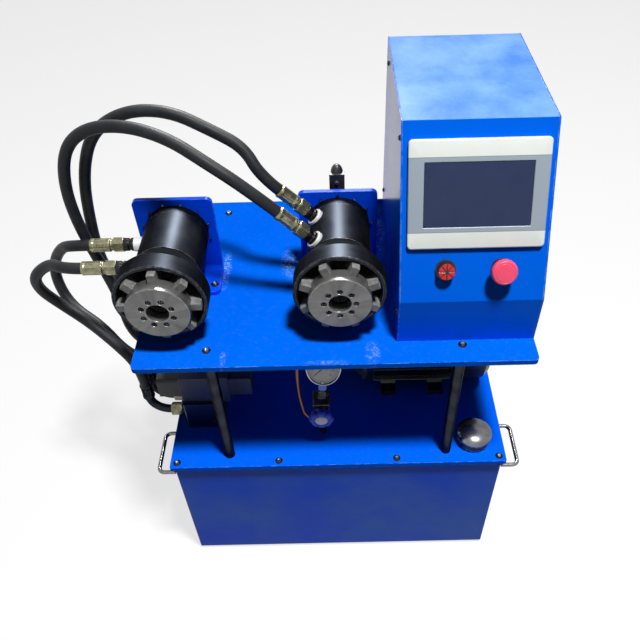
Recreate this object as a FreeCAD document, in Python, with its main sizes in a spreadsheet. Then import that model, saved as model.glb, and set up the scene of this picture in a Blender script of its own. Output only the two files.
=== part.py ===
import FreeCAD, Part

import math
import os

import Sketcher
from FreeCAD import Placement, Rotation, Vector

# Bench machine that crimps hose and pipe ends, with two heads side by side.
# Millimetres, +Z up, +X to the right of a person in front, the front faces -Y.
# The origin lies on the floor, under the centre of the machine's footprint.

SIZES = {
    # oil tank
    "tank_length": 620,
    "tank_depth": 412,
    "tank_height": 310,
    "tank_wall": 4,
    "tank_corner": 4,
    "flange_width": 20,
    "flange_thick": 8,
    "foot_height": 10,
    "foot_length": 62,
    "foot_taper": 12,
    "foot_inset": 11,
    "foot_depth": 60,
    "plate_overhang": 6.4,
    "plate_thick": 10,
    "plate_corner": 3,
    # deck and pillars
    "deck_overhang": 10.5,
    "deck_depth": 441,
    "deck_thick": 10,
    "deck_corner": 8,
    "pillar_length": 282,
    "pillar_diameter": 19,
    "pillar_end_inset": 116,
    "pillar_front_inset": 36.5,
    # button head screws
    "button_diameter": 14,
    "button_rise": 4.6,
    "button_rim": 1.2,
    "button_shoulder": 11.5,
    "button_flat": 7,
    "button_shank": 6,
    "button_grip": 16,
    "screw_clearance": 0.3,
    "plate_screw_end_inset": 12.9,
    "plate_screw_middle_gap": 222,
    "plate_screw_front_inset": 11.4,
    # tank handles
    "handle_diameter": 8,
    "handle_width": 90,
    "handle_reach": 32.5,
    "handle_bend": 11,
    "handle_back": 159.5,
    "handle_level": 305,
    # head brackets
    "left_head_inset": 58.7,
    "right_head_beside_box": 89.5,
    "left_face_back": 8.1,
    "right_face_back": 19.9,
    "head_axis_level": 714.8,
    "bracket_width": 132,
    "bracket_height": 156,
    "bracket_thick": 8,
    "bracket_bend": 10,
    "bracket_foot": 62,
    "bracket_corner": 10,
    "bracket_screw_right": 55.5,
    "left_bracket_screw_left": 40,
    "right_bracket_screw_left": 55.5,
    "bracket_screw_reach": 42,
    # crimping heads, measured forward from the bracket's front face
    "bore_diameter": 34,
    "core_diameter": 44,
    "core_tail": 20,
    "running_clearance": 0.1,
    "assembly_clearance": 0.3,
    "barrel_diameter": 105,
    "cap_length": 16,
    "spigot_length": 6,
    "cylinder_bore": 88,
    "barrel_front": 108,
    "gland_length": 14,
    "sleeve_diameter": 76,
    "sleeve_bore": 60,
    "sleeve_front": 121,
    "ring_length": 18,
    "ring_core_length": 30,
    "cone_gap": 2.5,
    "collar_diameter": 144.6,
    "flare_length": 36,
    "rim_front": 177.8,
    "rim_chamfer_outer": 1.5,
    "rim_chamfer_inner": 3,
    "cone_angle": 15,
    "cone_back": 123.5,
    "cone_back_diameter": 99.4,
    "backing_front": 149.7,
    "backing_thick": 8,
    "backing_diameter": 96,
    "die_front": 178,
    "jaw_width": 12,
    "jaw_wedge": 22.5,
    "jaw_wedge_relief": 0.05,
    "jaw_slide_clearance": 0.15,
    "ram_stroke": 17.5,
    "finger_length": 11,
    "finger_inner": 33,
    "disc_diameter": 97.8,
    "disc_thick": 23,
    "disc_chamfer": 1,
    "disc_hole": 9.5,
    "disc_hole_depth": 8,
    "tie_circle": 49,
    "tie_shank": 6,
    "tie_head": 8.5,
    "tie_head_length": 6,
    "cap_screw_circle": 76,
    "cap_screw_shank": 8,
    "cap_screw_depth": 11,
    "cap_screw_head": 13,
    "ring_nut_diameter": 62,
    "ring_nut_thick": 10,
    # head ports, measured out from the head's axis
    "rear_port": 33,
    "front_port": 92,
    "port_seat": 50,
    "port_thread": 16,
    "port_thread_depth": 5,
    "boss_diameter": 29,
    "boss_top": 69,
    "adapter_diameter": 22,
    "adapter_top": 88,
    "nut_flats": 27,
    "nut_length": 18,
    "long_nut_length": 22,
    "ferrule_diameter": 25,
    "ferrule_length": 40,
    "ferrule_step": 2,
    "hose_diameter": 19,
    # control box
    "box_width": 220,
    "box_front": 173.3,
    "box_depth": 384.5,
    "box_height": 329,
    "box_bend_height": 85,
    "box_slant_back": 107,
    "box_sheet": 2,
    "box_edge": 1.2,
    # operator panel
    "panel_width": 200.4,
    "panel_height": 156.5,
    "panel_side_gap": 10,
    "panel_top_gap": 25.5,
    "bezel_thick": 7,
    "bezel_side_border": 22.5,
    "bezel_band": 31.8,
    "bezel_corner": 6,
    "screen_recess": 2.2,
    "panel_back_depth": 34,
    "panel_back_inset": 7,
    "operator_drop": 32.9,
    "operator_spacing": 83,
    "collar_ring_diameter": 31,
    "collar_ring_rise": 3.5,
    "collar_body_diameter": 24,
    "collar_body_depth": 30,
    "collar_opening": 20,
    "lens_diameter": 26,
    "lens_rise": 12,
    "lens_depth": 8,
    "lens_edge": 2.2,
    "stop_diameter": 39,
    "stop_rise": 24,
    "stop_cap_thick": 13,
    "stop_travel": 5,
    "stop_spare": 2,
    "stop_edge": 4,
    # filler
    "filler_end_inset": 50.5,
    "filler_front_inset": 43,
    "filler_tube": 40,
    "filler_wall": 3,
    "filler_depth": 36,
    "filler_flange": 60,
    "filler_flange_thick": 6,
    "cap_diameter": 67,
    "cap_height": 32,
    "cap_skirt": 9,
    "cap_skirt_low": 15,
    "cap_plug": 8,
    "cap_neck": 50,
    # gauge and its valve
    "gauge_place": -28,
    "gauge_forward": 133,
    "gauge_level": 415,
    "gauge_block_width": 32,
    "gauge_block_depth": 36,
    "gauge_tilt": 33,
    "gauge_lean": 4.6,
    "gauge_stem_length": 70,
    "gauge_stem": 12,
    "gauge_stem_foot": 25,
    "gauge_diameter": 66,
    "gauge_case_back": 17,
    "gauge_case_front": 12,
    "gauge_wall": 3,
    "gauge_recess": 9,
    "crystal_thick": 2,
    "crystal_drop": 1.5,
    "needle_length": 23,
    "needle_tail": 8,
    "needle_width": 2.4,
    "needle_thick": 0.8,
    "needle_lift": 2,
    "needle_hub": 5,
    "needle_pin": 2,
    "needle_rest_angle": 135,
    "riser_diameter": 17,
    "riser_nut_height": 16,
    "riser_nut_flats": 27,
    "spindle_diameter": 8,
    "spindle_engagement": 9,
    "wheel_gap": 12,
    "wheel_diameter": 46,
    "wheel_thick": 12,
    "wheel_scallop": 11,
    "wheel_scallop_circle": 52,
    "copper_diameter": 6,
    "copper_inlet_rise": 34,
    "copper_port_reach": 112,
    # motor and pump, measured to the right from the motor's flange
    "motor_flange_inset": 260.5,
    "motor_back": 25,
    "motor_axis_height": 95,
    "motor_length": 180,
    "motor_core": 152,
    "motor_fin_diameter": 176,
    "motor_fin_thick": 3,
    "motor_shield_diameter": 166,
    "motor_shield_thick": 14,
    "motor_foot_width": 150,
    "motor_foot_length": 30,
    "motor_foot_thick": 12,
    "motor_foot_spacing": 95,
    "motor_foot_root": 20,
    "motor_foot_neck_share": 0.55,
    "motor_foot_spread_share": 0.7,
    "motor_root": 5,
    "fin_count": 24,
    "terminal_side": 92,
    "terminal_rise": 118,
    "shaft_diameter": 24,
    "shaft_tail": 34,
    "shaft_head": 36,
    "coupling_diameter": 50,
    "coupling_length": 24,
    "fan_diameter": 140,
    "fan_width": 24,
    "fan_gap": 8,
    "blade_thick": 4,
    "blade_root": 19,
    "blade_count": 7,
    "cowl_length": 68,
    "cowl_overlap": 8,
    "cowl_sheet": 2,
    "cowl_rounding": 10,
    "grille_slot": 8,
    "grille_inner": 16,
    "bell_length": 60,
    "bell_small": 100,
    "bell_wall": 8,
    "bell_rim": 6,
    "bell_window": 26.4,
    "pump_diameter": 84,
    "pump_length": 68,
    "pump_bolt_chamfer": 4,
    "suction_diameter": 24,
    # valves
    "manifold_left": -292,
    "manifold_width": 70,
    "manifold_front": 119,
    "manifold_depth": 159,
    "manifold_height": 70,
    "manifold_chamfer": 2,
    "manifold_port_rise": 35,
    "manifold_stub": 8,
    "manifold_plug": 14,
    "manifold_plug_rise": 4.7,
    "valve_left": -291,
    "valve_body_width": 91,
    "valve_body_height": 68,
    "valve_depth": 46,
    "valve_front_row": 112,
    "valve_row_pitch": 70,
    "solenoid_length": 42,
    "solenoid_height": 62,
    "solenoid_inset": 2,
    "solenoid_foot": 13,
    "solenoid_corner": 6,
    "elbow_bend": 36,
    "elbow_diameter": 16,
    "port_row_one": -98,
    "port_row_two": -62,
    "port_row_three": -24,
    "port_row_four": 18,
    "pressure_pipe_diameter": 16,
    # stroke sensor
    "sensor_width": 25.6,
    "sensor_offset": -0.5,
    "sensor_stand_off": 18,
    "sensor_depth": 24,
    "sensor_bottom": 38,
    "sensor_height": 27,
    "sensor_dome": 22,
    "sensor_arm": 6,
}

doc = FreeCAD.newDocument("PipeCrimper")
sheet = doc.addObject("Spreadsheet::Sheet", "Sizes")
for row, (alias, number) in enumerate(SIZES.items(), start=1):
    cell = "A%d" % row
    sheet.set(cell, str(number))
    sheet.setAlias(cell, alias)
doc.recompute()


class Size:
    """A number taken from the sheet, kept together with the formula that yields it."""

    def __init__(self, value, text=None):
        self.value = float(value)
        self.text = text if text is not None else repr(float(value))

    @staticmethod
    def of(item):
        return item if isinstance(item, Size) else Size(item)

    def __add__(self, other):
        other = Size.of(other)
        return Size(self.value + other.value, "(%s + %s)" % (self.text, other.text))

    def __radd__(self, other):
        return Size.of(other) + self

    def __sub__(self, other):
        other = Size.of(other)
        return Size(self.value - other.value, "(%s - %s)" % (self.text, other.text))

    def __rsub__(self, other):
        return Size.of(other) - self

    def __mul__(self, other):
        other = Size.of(other)
        return Size(self.value * other.value, "(%s * %s)" % (self.text, other.text))

    def __rmul__(self, other):
        return Size.of(other) * self

    def __truediv__(self, other):
        other = Size.of(other)
        return Size(self.value / other.value, "(%s / %s)" % (self.text, other.text))

    def __neg__(self):
        return Size(-self.value, "(-%s)" % self.text)

    def __float__(self):
        return self.value


def sine(angle):
    angle = Size.of(angle)
    return Size(math.sin(math.radians(angle.value)), "sin(%s)" % angle.text)


def cosine(angle):
    angle = Size.of(angle)
    return Size(math.cos(math.radians(angle.value)), "cos(%s)" % angle.text)


def tangent(angle):
    angle = Size.of(angle)
    return Size(math.tan(math.radians(angle.value)), "tan(%s)" % angle.text)


def root(amount):
    return Size(math.sqrt(amount.value), "sqrt(%s)" % amount.text)


class Named:
    """Every size of the sheet, read by its alias."""


size = Named()
for alias in SIZES:
    setattr(size, alias, Size(sheet.get(alias), "Sizes.%s" % alias))

ZERO = Size(0)
nodes = []


def bind(item, path, amount):
    """Ties one property of an object to a formula on the sheet."""
    amount = Size.of(amount)
    item.setExpression(path, amount.text)


def place(item, right=ZERO, forward_back=ZERO, up=ZERO, turn=None):
    """Puts a finished piece where it belongs; the three shifts follow the sheet."""
    spots = (right, forward_back, up)
    rotation = turn if turn is not None else Rotation()
    item.Placement = Placement(Vector(*(float(spot) for spot in spots)), rotation)
    for axis, spot in zip("xyz", spots):
        if isinstance(spot, Size) and spot is not ZERO:
            bind(item, "Placement.Base.%s" % axis, spot)


def new_body(label, several=False):
    body = doc.addObject("PartDesign::Body", label)
    body.Label = label
    body.AllowCompound = several
    nodes.append(body)
    return body


def plane_of(body, role):
    return [item for item in body.Origin.OriginFeatures if item.Role == role][0]


def new_sketch(body, role, shift=(ZERO, ZERO, ZERO), tilt=None):
    """A sketch on one of the body's planes, shifted in that plane's own frame.

    tilt is an axis and an angle in degrees, for a sketch that leans out of the plane."""
    sketch = body.newObject("Sketcher::SketchObject", body.Label + "_sketch")
    sketch.AttachmentSupport = (plane_of(body, role), [""])
    sketch.MapMode = "FlatFace"
    rotation = Rotation()
    if tilt is not None:
        rotation = Rotation(tilt[0], float(tilt[1]))
    shift = tuple(Size.of(part) for part in shift)
    sketch.AttachmentOffset = Placement(Vector(*(part.value for part in shift)), rotation)
    for axis, part in zip("xyz", shift):
        if part is not ZERO:
            bind(sketch, "AttachmentOffset.Base.%s" % axis, part)
    if tilt is not None and isinstance(tilt[1], Size):
        bind(sketch, "AttachmentOffset.Rotation.Angle", tilt[1])
    return sketch


def pin_down(sketch, edge, end, spot):
    """Holds one point of a sketch at coordinates that follow the sheet."""
    for kind, axis_line, amount in zip(("DistanceX", "DistanceY"), (-2, -1), spot):
        amount = Size.of(amount)
        if abs(amount.value) < 1e-9:
            sketch.addConstraint(Sketcher.Constraint("PointOnObject", edge, end, axis_line))
            continue
        index = sketch.addConstraint(Sketcher.Constraint(kind, -1, 1, edge, end, amount.value))
        bind(sketch, "Constraints[%d]" % index, amount)


def draw_polygon(sketch, points):
    """A closed outline of straight lines; each corner is a pair of sizes."""
    flat = [Vector(float(a), float(b), 0) for a, b in points]
    count = len(flat)
    first = sketch.GeometryCount
    for k in range(count):
        sketch.addGeometry(Part.LineSegment(flat[k], flat[(k + 1) % count]), False)
    for k in range(count):
        following = first + (k + 1) % count
        sketch.addConstraint(Sketcher.Constraint("Coincident", first + k, 2, following, 1))
    for k in range(count):
        pin_down(sketch, first + k, 1, points[k])


def draw_rectangle(sketch, left, right, low, high):
    draw_polygon(sketch, [(left, low), (right, low), (right, high), (left, high)])


def draw_circle(sketch, across, centre=(ZERO, ZERO)):
    across = Size.of(across)
    spot = Vector(float(centre[0]), float(centre[1]), 0)
    edge = sketch.addGeometry(Part.Circle(spot, Vector(0, 0, 1), across.value / 2), False)
    pin_down(sketch, edge, 3, centre)
    index = sketch.addConstraint(Sketcher.Constraint("Diameter", edge, across.value))
    bind(sketch, "Constraints[%d]" % index, across)


def draw_circle_ring(sketch, across, circle, count, start=0.0):
    """Equal circles spaced evenly round a pitch circle."""
    for k in range(count):
        angle = start + 360.0 * k / count
        away = Size.of(circle) / 2
        draw_circle(sketch, across, (away * round(math.cos(math.radians(angle)), 12),
                                     away * round(math.sin(math.radians(angle)), 12)))


def add_pad(body, sketch, length, back=False, both_ways=False):
    pad = body.newObject("PartDesign::Pad", body.Label + "_pad")
    pad.Profile = sketch
    pad.Reversed = back
    if both_ways:
        pad.SideType = "Symmetric"
    bind(pad, "Length", length)
    doc.recompute()
    return pad


def cut_pocket(body, sketch, length, back=False, both_ways=False):
    """Cuts along the sketch's normal turned round, or along it with back set."""
    before = body.Shape.Volume
    pocket = body.newObject("PartDesign::Pocket", body.Label + "_pocket")
    pocket.Profile = sketch
    pocket.Reversed = back
    if both_ways:
        pocket.SideType = "Symmetric"
    bind(pocket, "Length", length)
    doc.recompute()
    if body.Shape.Volume > before - 1e-3:
        raise RuntimeError("a pocket of %s cuts nothing" % body.Label)
    return pocket


def add_revolution(body, points, shift=(ZERO, ZERO, ZERO)):
    """Turns an outline of (radius, height) corners round the body's upright axis."""
    sketch = new_sketch(body, "XZ_Plane", shift)
    draw_polygon(sketch, points)
    turned = body.newObject("PartDesign::Revolution", body.Label + "_turned")
    turned.Profile = sketch
    turned.ReferenceAxis = (sketch, ["V_Axis"])
    turned.Angle = 360
    doc.recompute()
    return turned


def cut_groove(body, points, shift=(ZERO, ZERO, ZERO)):
    """Cuts a turned outline of (radius, height) corners out of the body."""
    before = body.Shape.Volume
    sketch = new_sketch(body, "XZ_Plane", shift)
    draw_polygon(sketch, points)
    groove = body.newObject("PartDesign::Groove", body.Label + "_groove")
    groove.Profile = sketch
    groove.ReferenceAxis = (sketch, ["V_Axis"])
    groove.Angle = 360
    doc.recompute()
    if body.Shape.Volume > before - 1e-3:
        raise RuntimeError("a groove of %s cuts nothing" % body.Label)
    return groove


def edges_where(body, wanted):
    """Names of the straight edges whose two ends satisfy a test."""
    names = []
    for number, edge in enumerate(body.Tip.Shape.Edges, start=1):
        if len(edge.Vertexes) != 2:
            continue
        if wanted(edge.Vertexes[0].Point, edge.Vertexes[1].Point):
            names.append("Edge%d" % number)
    return names


def upright(one, two):
    return abs(one.x - two.x) < 1e-4 and abs(one.y - two.y) < 1e-4


def dress(body, kind, names, amount):
    """A fillet or a chamfer on the named edges of the body as it stands."""
    base = body.Tip
    feature = body.newObject("PartDesign::" + kind, body.Label + "_" + kind.lower())
    feature.Base = (base, names)
    bind(feature, "Radius" if kind == "Fillet" else "Size", amount)
    doc.recompute()
    body.Tip = feature
    return feature


def add_feature(label, shape):
    """A piece or a group of like pieces whose shape is worked out here."""
    feature = doc.addObject("Part::Feature", label)
    feature.Label = label
    feature.Shape = shape
    feature.Placement = Placement()
    nodes.append(feature)
    return feature


def turned_solid(points):
    """A solid of revolution round +Z from (radius, height) corners."""
    corners = [Vector(float(a), 0, float(b)) for a, b in points]
    outline = Part.makePolygon(corners + [corners[0]])
    return Part.Face(outline).revolve(Vector(0, 0, 0), Vector(0, 0, 1), 360)


def hexagon_prism(flats, length):
    """A hexagonal bar round +Z from the ground up, its corners chamfered by turning."""
    corner = float(flats) / 2 / math.cos(math.radians(30))
    ring = [Vector(corner * math.cos(math.radians(60 * k)), corner * math.sin(math.radians(60 * k)), 0)
            for k in range(7)]
    bar = Part.Face(Part.makePolygon(ring)).extrude(Vector(0, 0, float(length)))
    ease = (corner - float(flats) / 2) * 0.6
    rounding = turned_solid([(0, 0), (corner - ease, 0), (corner, ease),
                             (corner, float(length) - ease), (corner - ease, float(length)),
                             (0, float(length))])
    return bar.common(rounding)


def aimed(shape, start, direction):
    """A copy of a shape built round +Z, moved to start and turned to point along direction."""
    turn = Rotation(Vector(0, 0, 1), Vector(*direction))
    copy = shape.copy()
    copy.Placement = Placement(Vector(*(float(part) for part in start)), turn)
    return copy


def swept_route(points, bends, across):
    """A round bar along straight runs joined by tangent arcs."""
    pieces = []
    start = points[0]
    for before, corner, after, bend in zip(points, points[1:], points[2:], bends):
        into = (corner - before).normalize()
        out = (after - corner).normalize()
        half = into.getAngle(out) / 2
        reach = bend * math.tan(half)
        first = corner - into * reach
        last = corner + out * reach
        middle_way = (out - into).normalize()
        middle = corner + middle_way * (bend / math.cos(half) - bend)
        if (first - start).Length > 1e-6:
            pieces.append(Part.LineSegment(start, first).toShape())
        pieces.append(Part.Arc(first, middle, last).toShape())
        start = last
    if (points[-1] - start).Length > 1e-6:
        pieces.append(Part.LineSegment(start, points[-1]).toShape())
    spine = Part.Wire(pieces)
    ring = Part.Wire(Part.makeCircle(across / 2, points[0], points[1] - points[0]))
    return spine.makePipeShell([ring], True, True), spine.Length


def eased_bends(points):
    """Arc radii that take 0.45 of the shorter run at every corner."""
    bends = []
    for before, corner, after in zip(points, points[1:], points[2:]):
        shorter = min((corner - before).Length, (after - corner).Length)
        half = (corner - before).getAngle(after - corner) / 2
        bends.append(0.45 * shorter / math.tan(half))
    return bends


# Heights of the main levels

tank_top = size.foot_height + size.tank_height
plate_top = tank_top + size.plate_thick
deck_bottom = plate_top + size.pillar_length
deck_top = deck_bottom + size.deck_thick
screw_hole = size.button_shank + 2 * size.screw_clearance

deck_end = size.tank_length / 2 + size.deck_overhang
motor_right = deck_end - size.motor_flange_inset
box_left = deck_end - size.box_width
left_head_place = size.left_head_inset - deck_end
right_head_place = box_left - size.right_head_beside_box
plate_end = size.tank_length / 2 + size.plate_overhang
plate_front = size.tank_depth / 2 + size.plate_overhang
plate_screws = [(side * across, row * (plate_front - size.plate_screw_front_inset))
                for across in (plate_end - size.plate_screw_end_inset,
                               size.plate_screw_middle_gap / 2)
                for side in (-1, 1) for row in (-1, 1)]
pillar_spots = [(side * (deck_end - size.pillar_end_inset),
                 row * (size.deck_depth / 2 - size.pillar_front_inset))
                for side in (-1, 1) for row in (-1, 1)]
HEADS = {
    "left": {"place": left_head_place, "face": size.left_face_back, "start": 0.0,
             "port": 180.0, "screw_left": size.left_bracket_screw_left},
    "right": {"place": right_head_place, "face": size.right_face_back, "start": 22.5,
              "port": 135.0, "screw_left": size.right_bracket_screw_left},
}
foot_screws = [(head["place"] + reach, head["face"] - size.bracket_screw_reach)
               for head in HEADS.values()
               for reach in (-head["screw_left"], size.bracket_screw_right)]


# Oil tank: a welded shell with an inward flange, on four trapezoid feet

half_length = size.tank_length / 2
half_depth = size.tank_depth / 2
filler_right = half_length - size.filler_end_inset
filler_forward = half_depth - size.filler_front_inset

tank = new_body("tank_shell")
sketch = new_sketch(tank, "XY_Plane", (ZERO, ZERO, size.foot_height))
draw_rectangle(sketch, -half_length, half_length, -half_depth, half_depth)
add_pad(tank, sketch, size.tank_wall)
for inward, low, rise in (
        (size.tank_wall, size.foot_height + size.tank_wall,
         size.tank_height - size.tank_wall - size.flange_thick),
        (size.flange_width, tank_top - size.flange_thick, size.flange_thick)):
    sketch = new_sketch(tank, "XY_Plane", (ZERO, ZERO, low))
    draw_rectangle(sketch, -half_length, half_length, -half_depth, half_depth)
    draw_rectangle(sketch, inward - half_length, half_length - inward,
                   inward - half_depth, half_depth - inward)
    add_pad(tank, sketch, rise)
corner_edges = edges_where(tank, lambda a, b: upright(a, b)
                           and abs(abs(a.x) - half_length.value) < 1e-4
                           and abs(abs(a.y) - half_depth.value) < 1e-4)
dress(tank, "Fillet", corner_edges, size.tank_corner)
foot_out = half_length - size.foot_inset
foot_in = foot_out - size.foot_length
for row in (-1, 1):
    near = row * (half_depth - size.foot_inset)
    sketch = new_sketch(tank, "XZ_Plane", (ZERO, ZERO, -near))
    for side in (-1, 1):
        draw_polygon(sketch, [(side * foot_out, 0), (side * (foot_in + size.foot_taper), 0),
                              (side * foot_in, size.foot_height),
                              (side * foot_out, size.foot_height)])
    add_pad(tank, sketch, size.foot_depth, back=(row < 0))
sketch = new_sketch(tank, "XY_Plane", (ZERO, ZERO, tank_top))
for spot in plate_screws:
    draw_circle(sketch, screw_hole, spot)
cut_pocket(tank, sketch, size.flange_thick)

top_plate = new_body("tank_top_plate")
sketch = new_sketch(top_plate, "XY_Plane")
draw_rectangle(sketch, -plate_end, plate_end, -plate_front, plate_front)
for spot in plate_screws:
    draw_circle(sketch, screw_hole, spot)
draw_circle(sketch, size.filler_tube + 2 * size.assembly_clearance,
            (filler_right, -filler_forward))
add_pad(top_plate, sketch, size.plate_thick)
dress(top_plate, "Fillet",
      edges_where(top_plate, lambda a, b: upright(a, b) and abs(a.x) > half_length.value
                  and abs(a.y) > half_depth.value), size.plate_corner)
place(top_plate, up=tank_top)

handles = new_body("tank_handles", several=True)
inner_reach = size.handle_reach - size.handle_bend
half_span = size.handle_width / 2
path = new_sketch(handles, "XY_Plane")
path_points = [(half_length, -half_span), (half_length + inner_reach, -half_span),
               (half_length + size.handle_reach, -half_span + size.handle_bend),
               (half_length + size.handle_reach, half_span - size.handle_bend),
               (half_length + inner_reach, half_span), (half_length, half_span)]
flat = [Vector(float(a), float(b), 0) for a, b in path_points]
bend = size.handle_bend.value
for number in (0, 2, 4):
    path.addGeometry(Part.LineSegment(flat[number], flat[number + 1]), False)
for centre_y, begin, end in ((-half_span.value + bend, -90, 0), (half_span.value - bend, 0, 90)):
    centre = Vector(half_length.value + inner_reach.value, centre_y, 0)
    ring = Part.Circle(centre, Vector(0, 0, 1), bend)
    path.addGeometry(Part.ArcOfCircle(ring, math.radians(begin), math.radians(end)), False)
for edge, pair in ((0, (0, 1)), (1, (2, 3)), (2, (4, 5))):
    pin_down(path, edge, 1, path_points[pair[0]])
    pin_down(path, edge, 2, path_points[pair[1]])
for one, two in (((3, 1), (0, 2)), ((3, 2), (1, 1)), ((4, 1), (1, 2)), ((4, 2), (2, 1))):
    path.addConstraint(Sketcher.Constraint("Coincident", one[0], one[1], two[0], two[1]))
for arc in (3, 4):
    index = path.addConstraint(Sketcher.Constraint("Radius", arc, bend))
    bind(path, "Constraints[%d]" % index, size.handle_bend)
section = new_sketch(handles, "YZ_Plane", (-half_span, ZERO, half_length))
draw_circle(section, size.handle_diameter)
doc.recompute()
pipe = handles.newObject("PartDesign::AdditivePipe", "tank_handles_pipe")
pipe.Profile = section
pipe.Spine = (path, ["Edge1", "Edge4", "Edge2", "Edge5", "Edge3"])
doc.recompute()
mirrored = handles.newObject("PartDesign::Mirrored", "tank_handles_mirrored")
mirrored.Originals = [pipe]
mirrored.MirrorPlane = (plane_of(handles, "YZ_Plane"), [""])
handles.Tip = mirrored
place(handles, ZERO, -size.handle_back, size.handle_level)


# Deck plate on four pillars

deck = new_body("deck_plate")
sketch = new_sketch(deck, "XY_Plane")
draw_rectangle(sketch, -deck_end, deck_end, -size.deck_depth / 2, size.deck_depth / 2)
for spot in pillar_spots + foot_screws:
    draw_circle(sketch, screw_hole, spot)
add_pad(deck, sketch, size.deck_thick)
dress(deck, "Fillet",
      edges_where(deck, lambda a, b: upright(a, b)
                  and abs(abs(a.x) - deck_end.value) < 1e-4), size.deck_corner)
place(deck, up=deck_bottom)

pillars = new_body("deck_pillars", several=True)
sketch = new_sketch(pillars, "XY_Plane")
for spot in pillar_spots:
    draw_circle(sketch, size.pillar_diameter, spot)
add_pad(pillars, sketch, size.pillar_length)
sketch = new_sketch(pillars, "XY_Plane", (ZERO, ZERO, size.pillar_length))
for spot in pillar_spots:
    draw_circle(sketch, screw_hole, spot)
cut_pocket(pillars, sketch, size.button_grip)
place(pillars, up=plate_top)


def button_screw():
    """A domed screw whose seat is at height zero, its shank below."""
    wide = size.button_diameter / 2
    thin = size.button_shank / 2
    shoulder = (size.button_rim + 2 * size.button_rise) / 3
    return turned_solid([(0, -size.button_grip), (thin, -size.button_grip), (thin, 0), (wide, 0),
                         (wide, size.button_rim), (size.button_shoulder / 2, shoulder),
                         (size.button_flat / 2, size.button_rise), (0, size.button_rise)])


button = button_screw()
button_spots = [(spot, plate_top) for spot in plate_screws]
button_spots += [(spot, deck_top) for spot in pillar_spots]
button_spots += [(spot, deck_top + size.bracket_thick) for spot in foot_screws]
add_feature("button_screws", Part.makeCompound([
    aimed(button, (spot[0], spot[1], level), (0, 0, 1)) for spot, level in button_spots]))


# Head brackets: bent plates on the deck, with a clear hole behind each bore

brackets = new_body("head_brackets", several=True)
thick = size.bracket_thick
core_hole = size.core_diameter + 2 * size.assembly_clearance
for head in HEADS.values():
    sketch = new_sketch(brackets, "YZ_Plane", (ZERO, ZERO, head["place"]))
    rear = head["face"] + thick
    draw_polygon(sketch, [(head["face"], thick), (head["face"], size.bracket_height),
                          (rear, size.bracket_height), (rear, ZERO),
                          (head["face"] - size.bracket_foot, ZERO),
                          (head["face"] - size.bracket_foot, thick)])
    add_pad(brackets, sketch, size.bracket_width, both_ways=True)


def bend_edges(inner):
    """Edges along X at the inside or the outside of each bracket's bend."""
    faces = [head["face"].value + (0 if inner else thick.value) for head in HEADS.values()]
    level = thick.value if inner else 0.0
    return edges_where(brackets, lambda a, b: abs(a.y - b.y) < 1e-4 and abs(a.z - b.z) < 1e-4
                       and abs(a.z - level) < 1e-4
                       and min(abs(a.y - face) for face in faces) < 1e-4)


dress(brackets, "Fillet", bend_edges(True), size.bracket_bend)
dress(brackets, "Fillet", bend_edges(False), size.bracket_bend + thick)


def plate_corners(a, b):
    """Edges through the plate's thickness at its free corners."""
    along_y = abs(a.x - b.x) < 1e-4 and abs(a.z - b.z) < 1e-4
    top_corner = along_y and abs(a.z - size.bracket_height.value) < 1e-4
    along_z = upright(a, b) and max(a.z, b.z) < thick.value + 1e-4
    fronts = [head["face"].value - size.bracket_foot.value for head in HEADS.values()]
    front_corner = along_z and min(abs(a.y - front) for front in fronts) < 1e-4
    return top_corner or front_corner


dress(brackets, "Fillet", edges_where(brackets, plate_corners), size.bracket_corner)
axis_rise = size.head_axis_level - deck_top
for head in HEADS.values():
    sketch = new_sketch(brackets, "XZ_Plane", (head["place"], axis_rise, -head["face"]))
    draw_circle(sketch, core_hole)
    draw_circle_ring(sketch, size.cap_screw_shank + 2 * size.screw_clearance,
                     size.cap_screw_circle, 4, 45.0)
    cut_pocket(brackets, sketch, thick)
sketch = new_sketch(brackets, "XY_Plane", (ZERO, ZERO, thick))
for spot in foot_screws:
    draw_circle(sketch, screw_hole, spot)
cut_pocket(brackets, sketch, thick)
place(brackets, up=deck_top)


# Crimping heads
# Each piece is drawn with +Z forward along the bore and Z = 0 on the bracket's front face.

LEFT = HEADS["left"]
RIGHT = HEADS["right"]
FORWARD = Rotation(Vector(1, 0, 0), 90)


def put_on_head(body, head, spin=0.0):
    """Seats a piece on a head's axis, turned round that axis by spin degrees."""
    place(body, head["place"], head["face"], size.head_axis_level,
          FORWARD.multiply(Rotation(Vector(0, 0, 1), spin)))


def pair_shift(head, height=ZERO):
    """Where a head's axis and face lie in a body that is seated on the left head."""
    return (head["place"] - LEFT["place"], height - (head["face"] - LEFT["face"]), ZERO)


bore = size.bore_diameter / 2
core = size.core_diameter / 2
barrel_radius = size.barrel_diameter / 2
cylinder = size.cylinder_bore / 2
ring_back = size.cap_length + size.spigot_length + size.assembly_clearance
cone_start = size.barrel_front + size.cone_gap
collar = size.collar_diameter / 2
slope = tangent(size.cone_angle)
disc_back = size.die_front + size.assembly_clearance
disc_front = disc_back + size.disc_thick
backing_back = size.backing_front - size.backing_thick
jaw_travel = size.ram_stroke * slope
sleeve = size.sleeve_diameter / 2


def cone_radius(height):
    """Radius of the closing cone's inner face at a distance forward."""
    return size.cone_back_diameter / 2 + (height - size.cone_back) * slope


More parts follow.
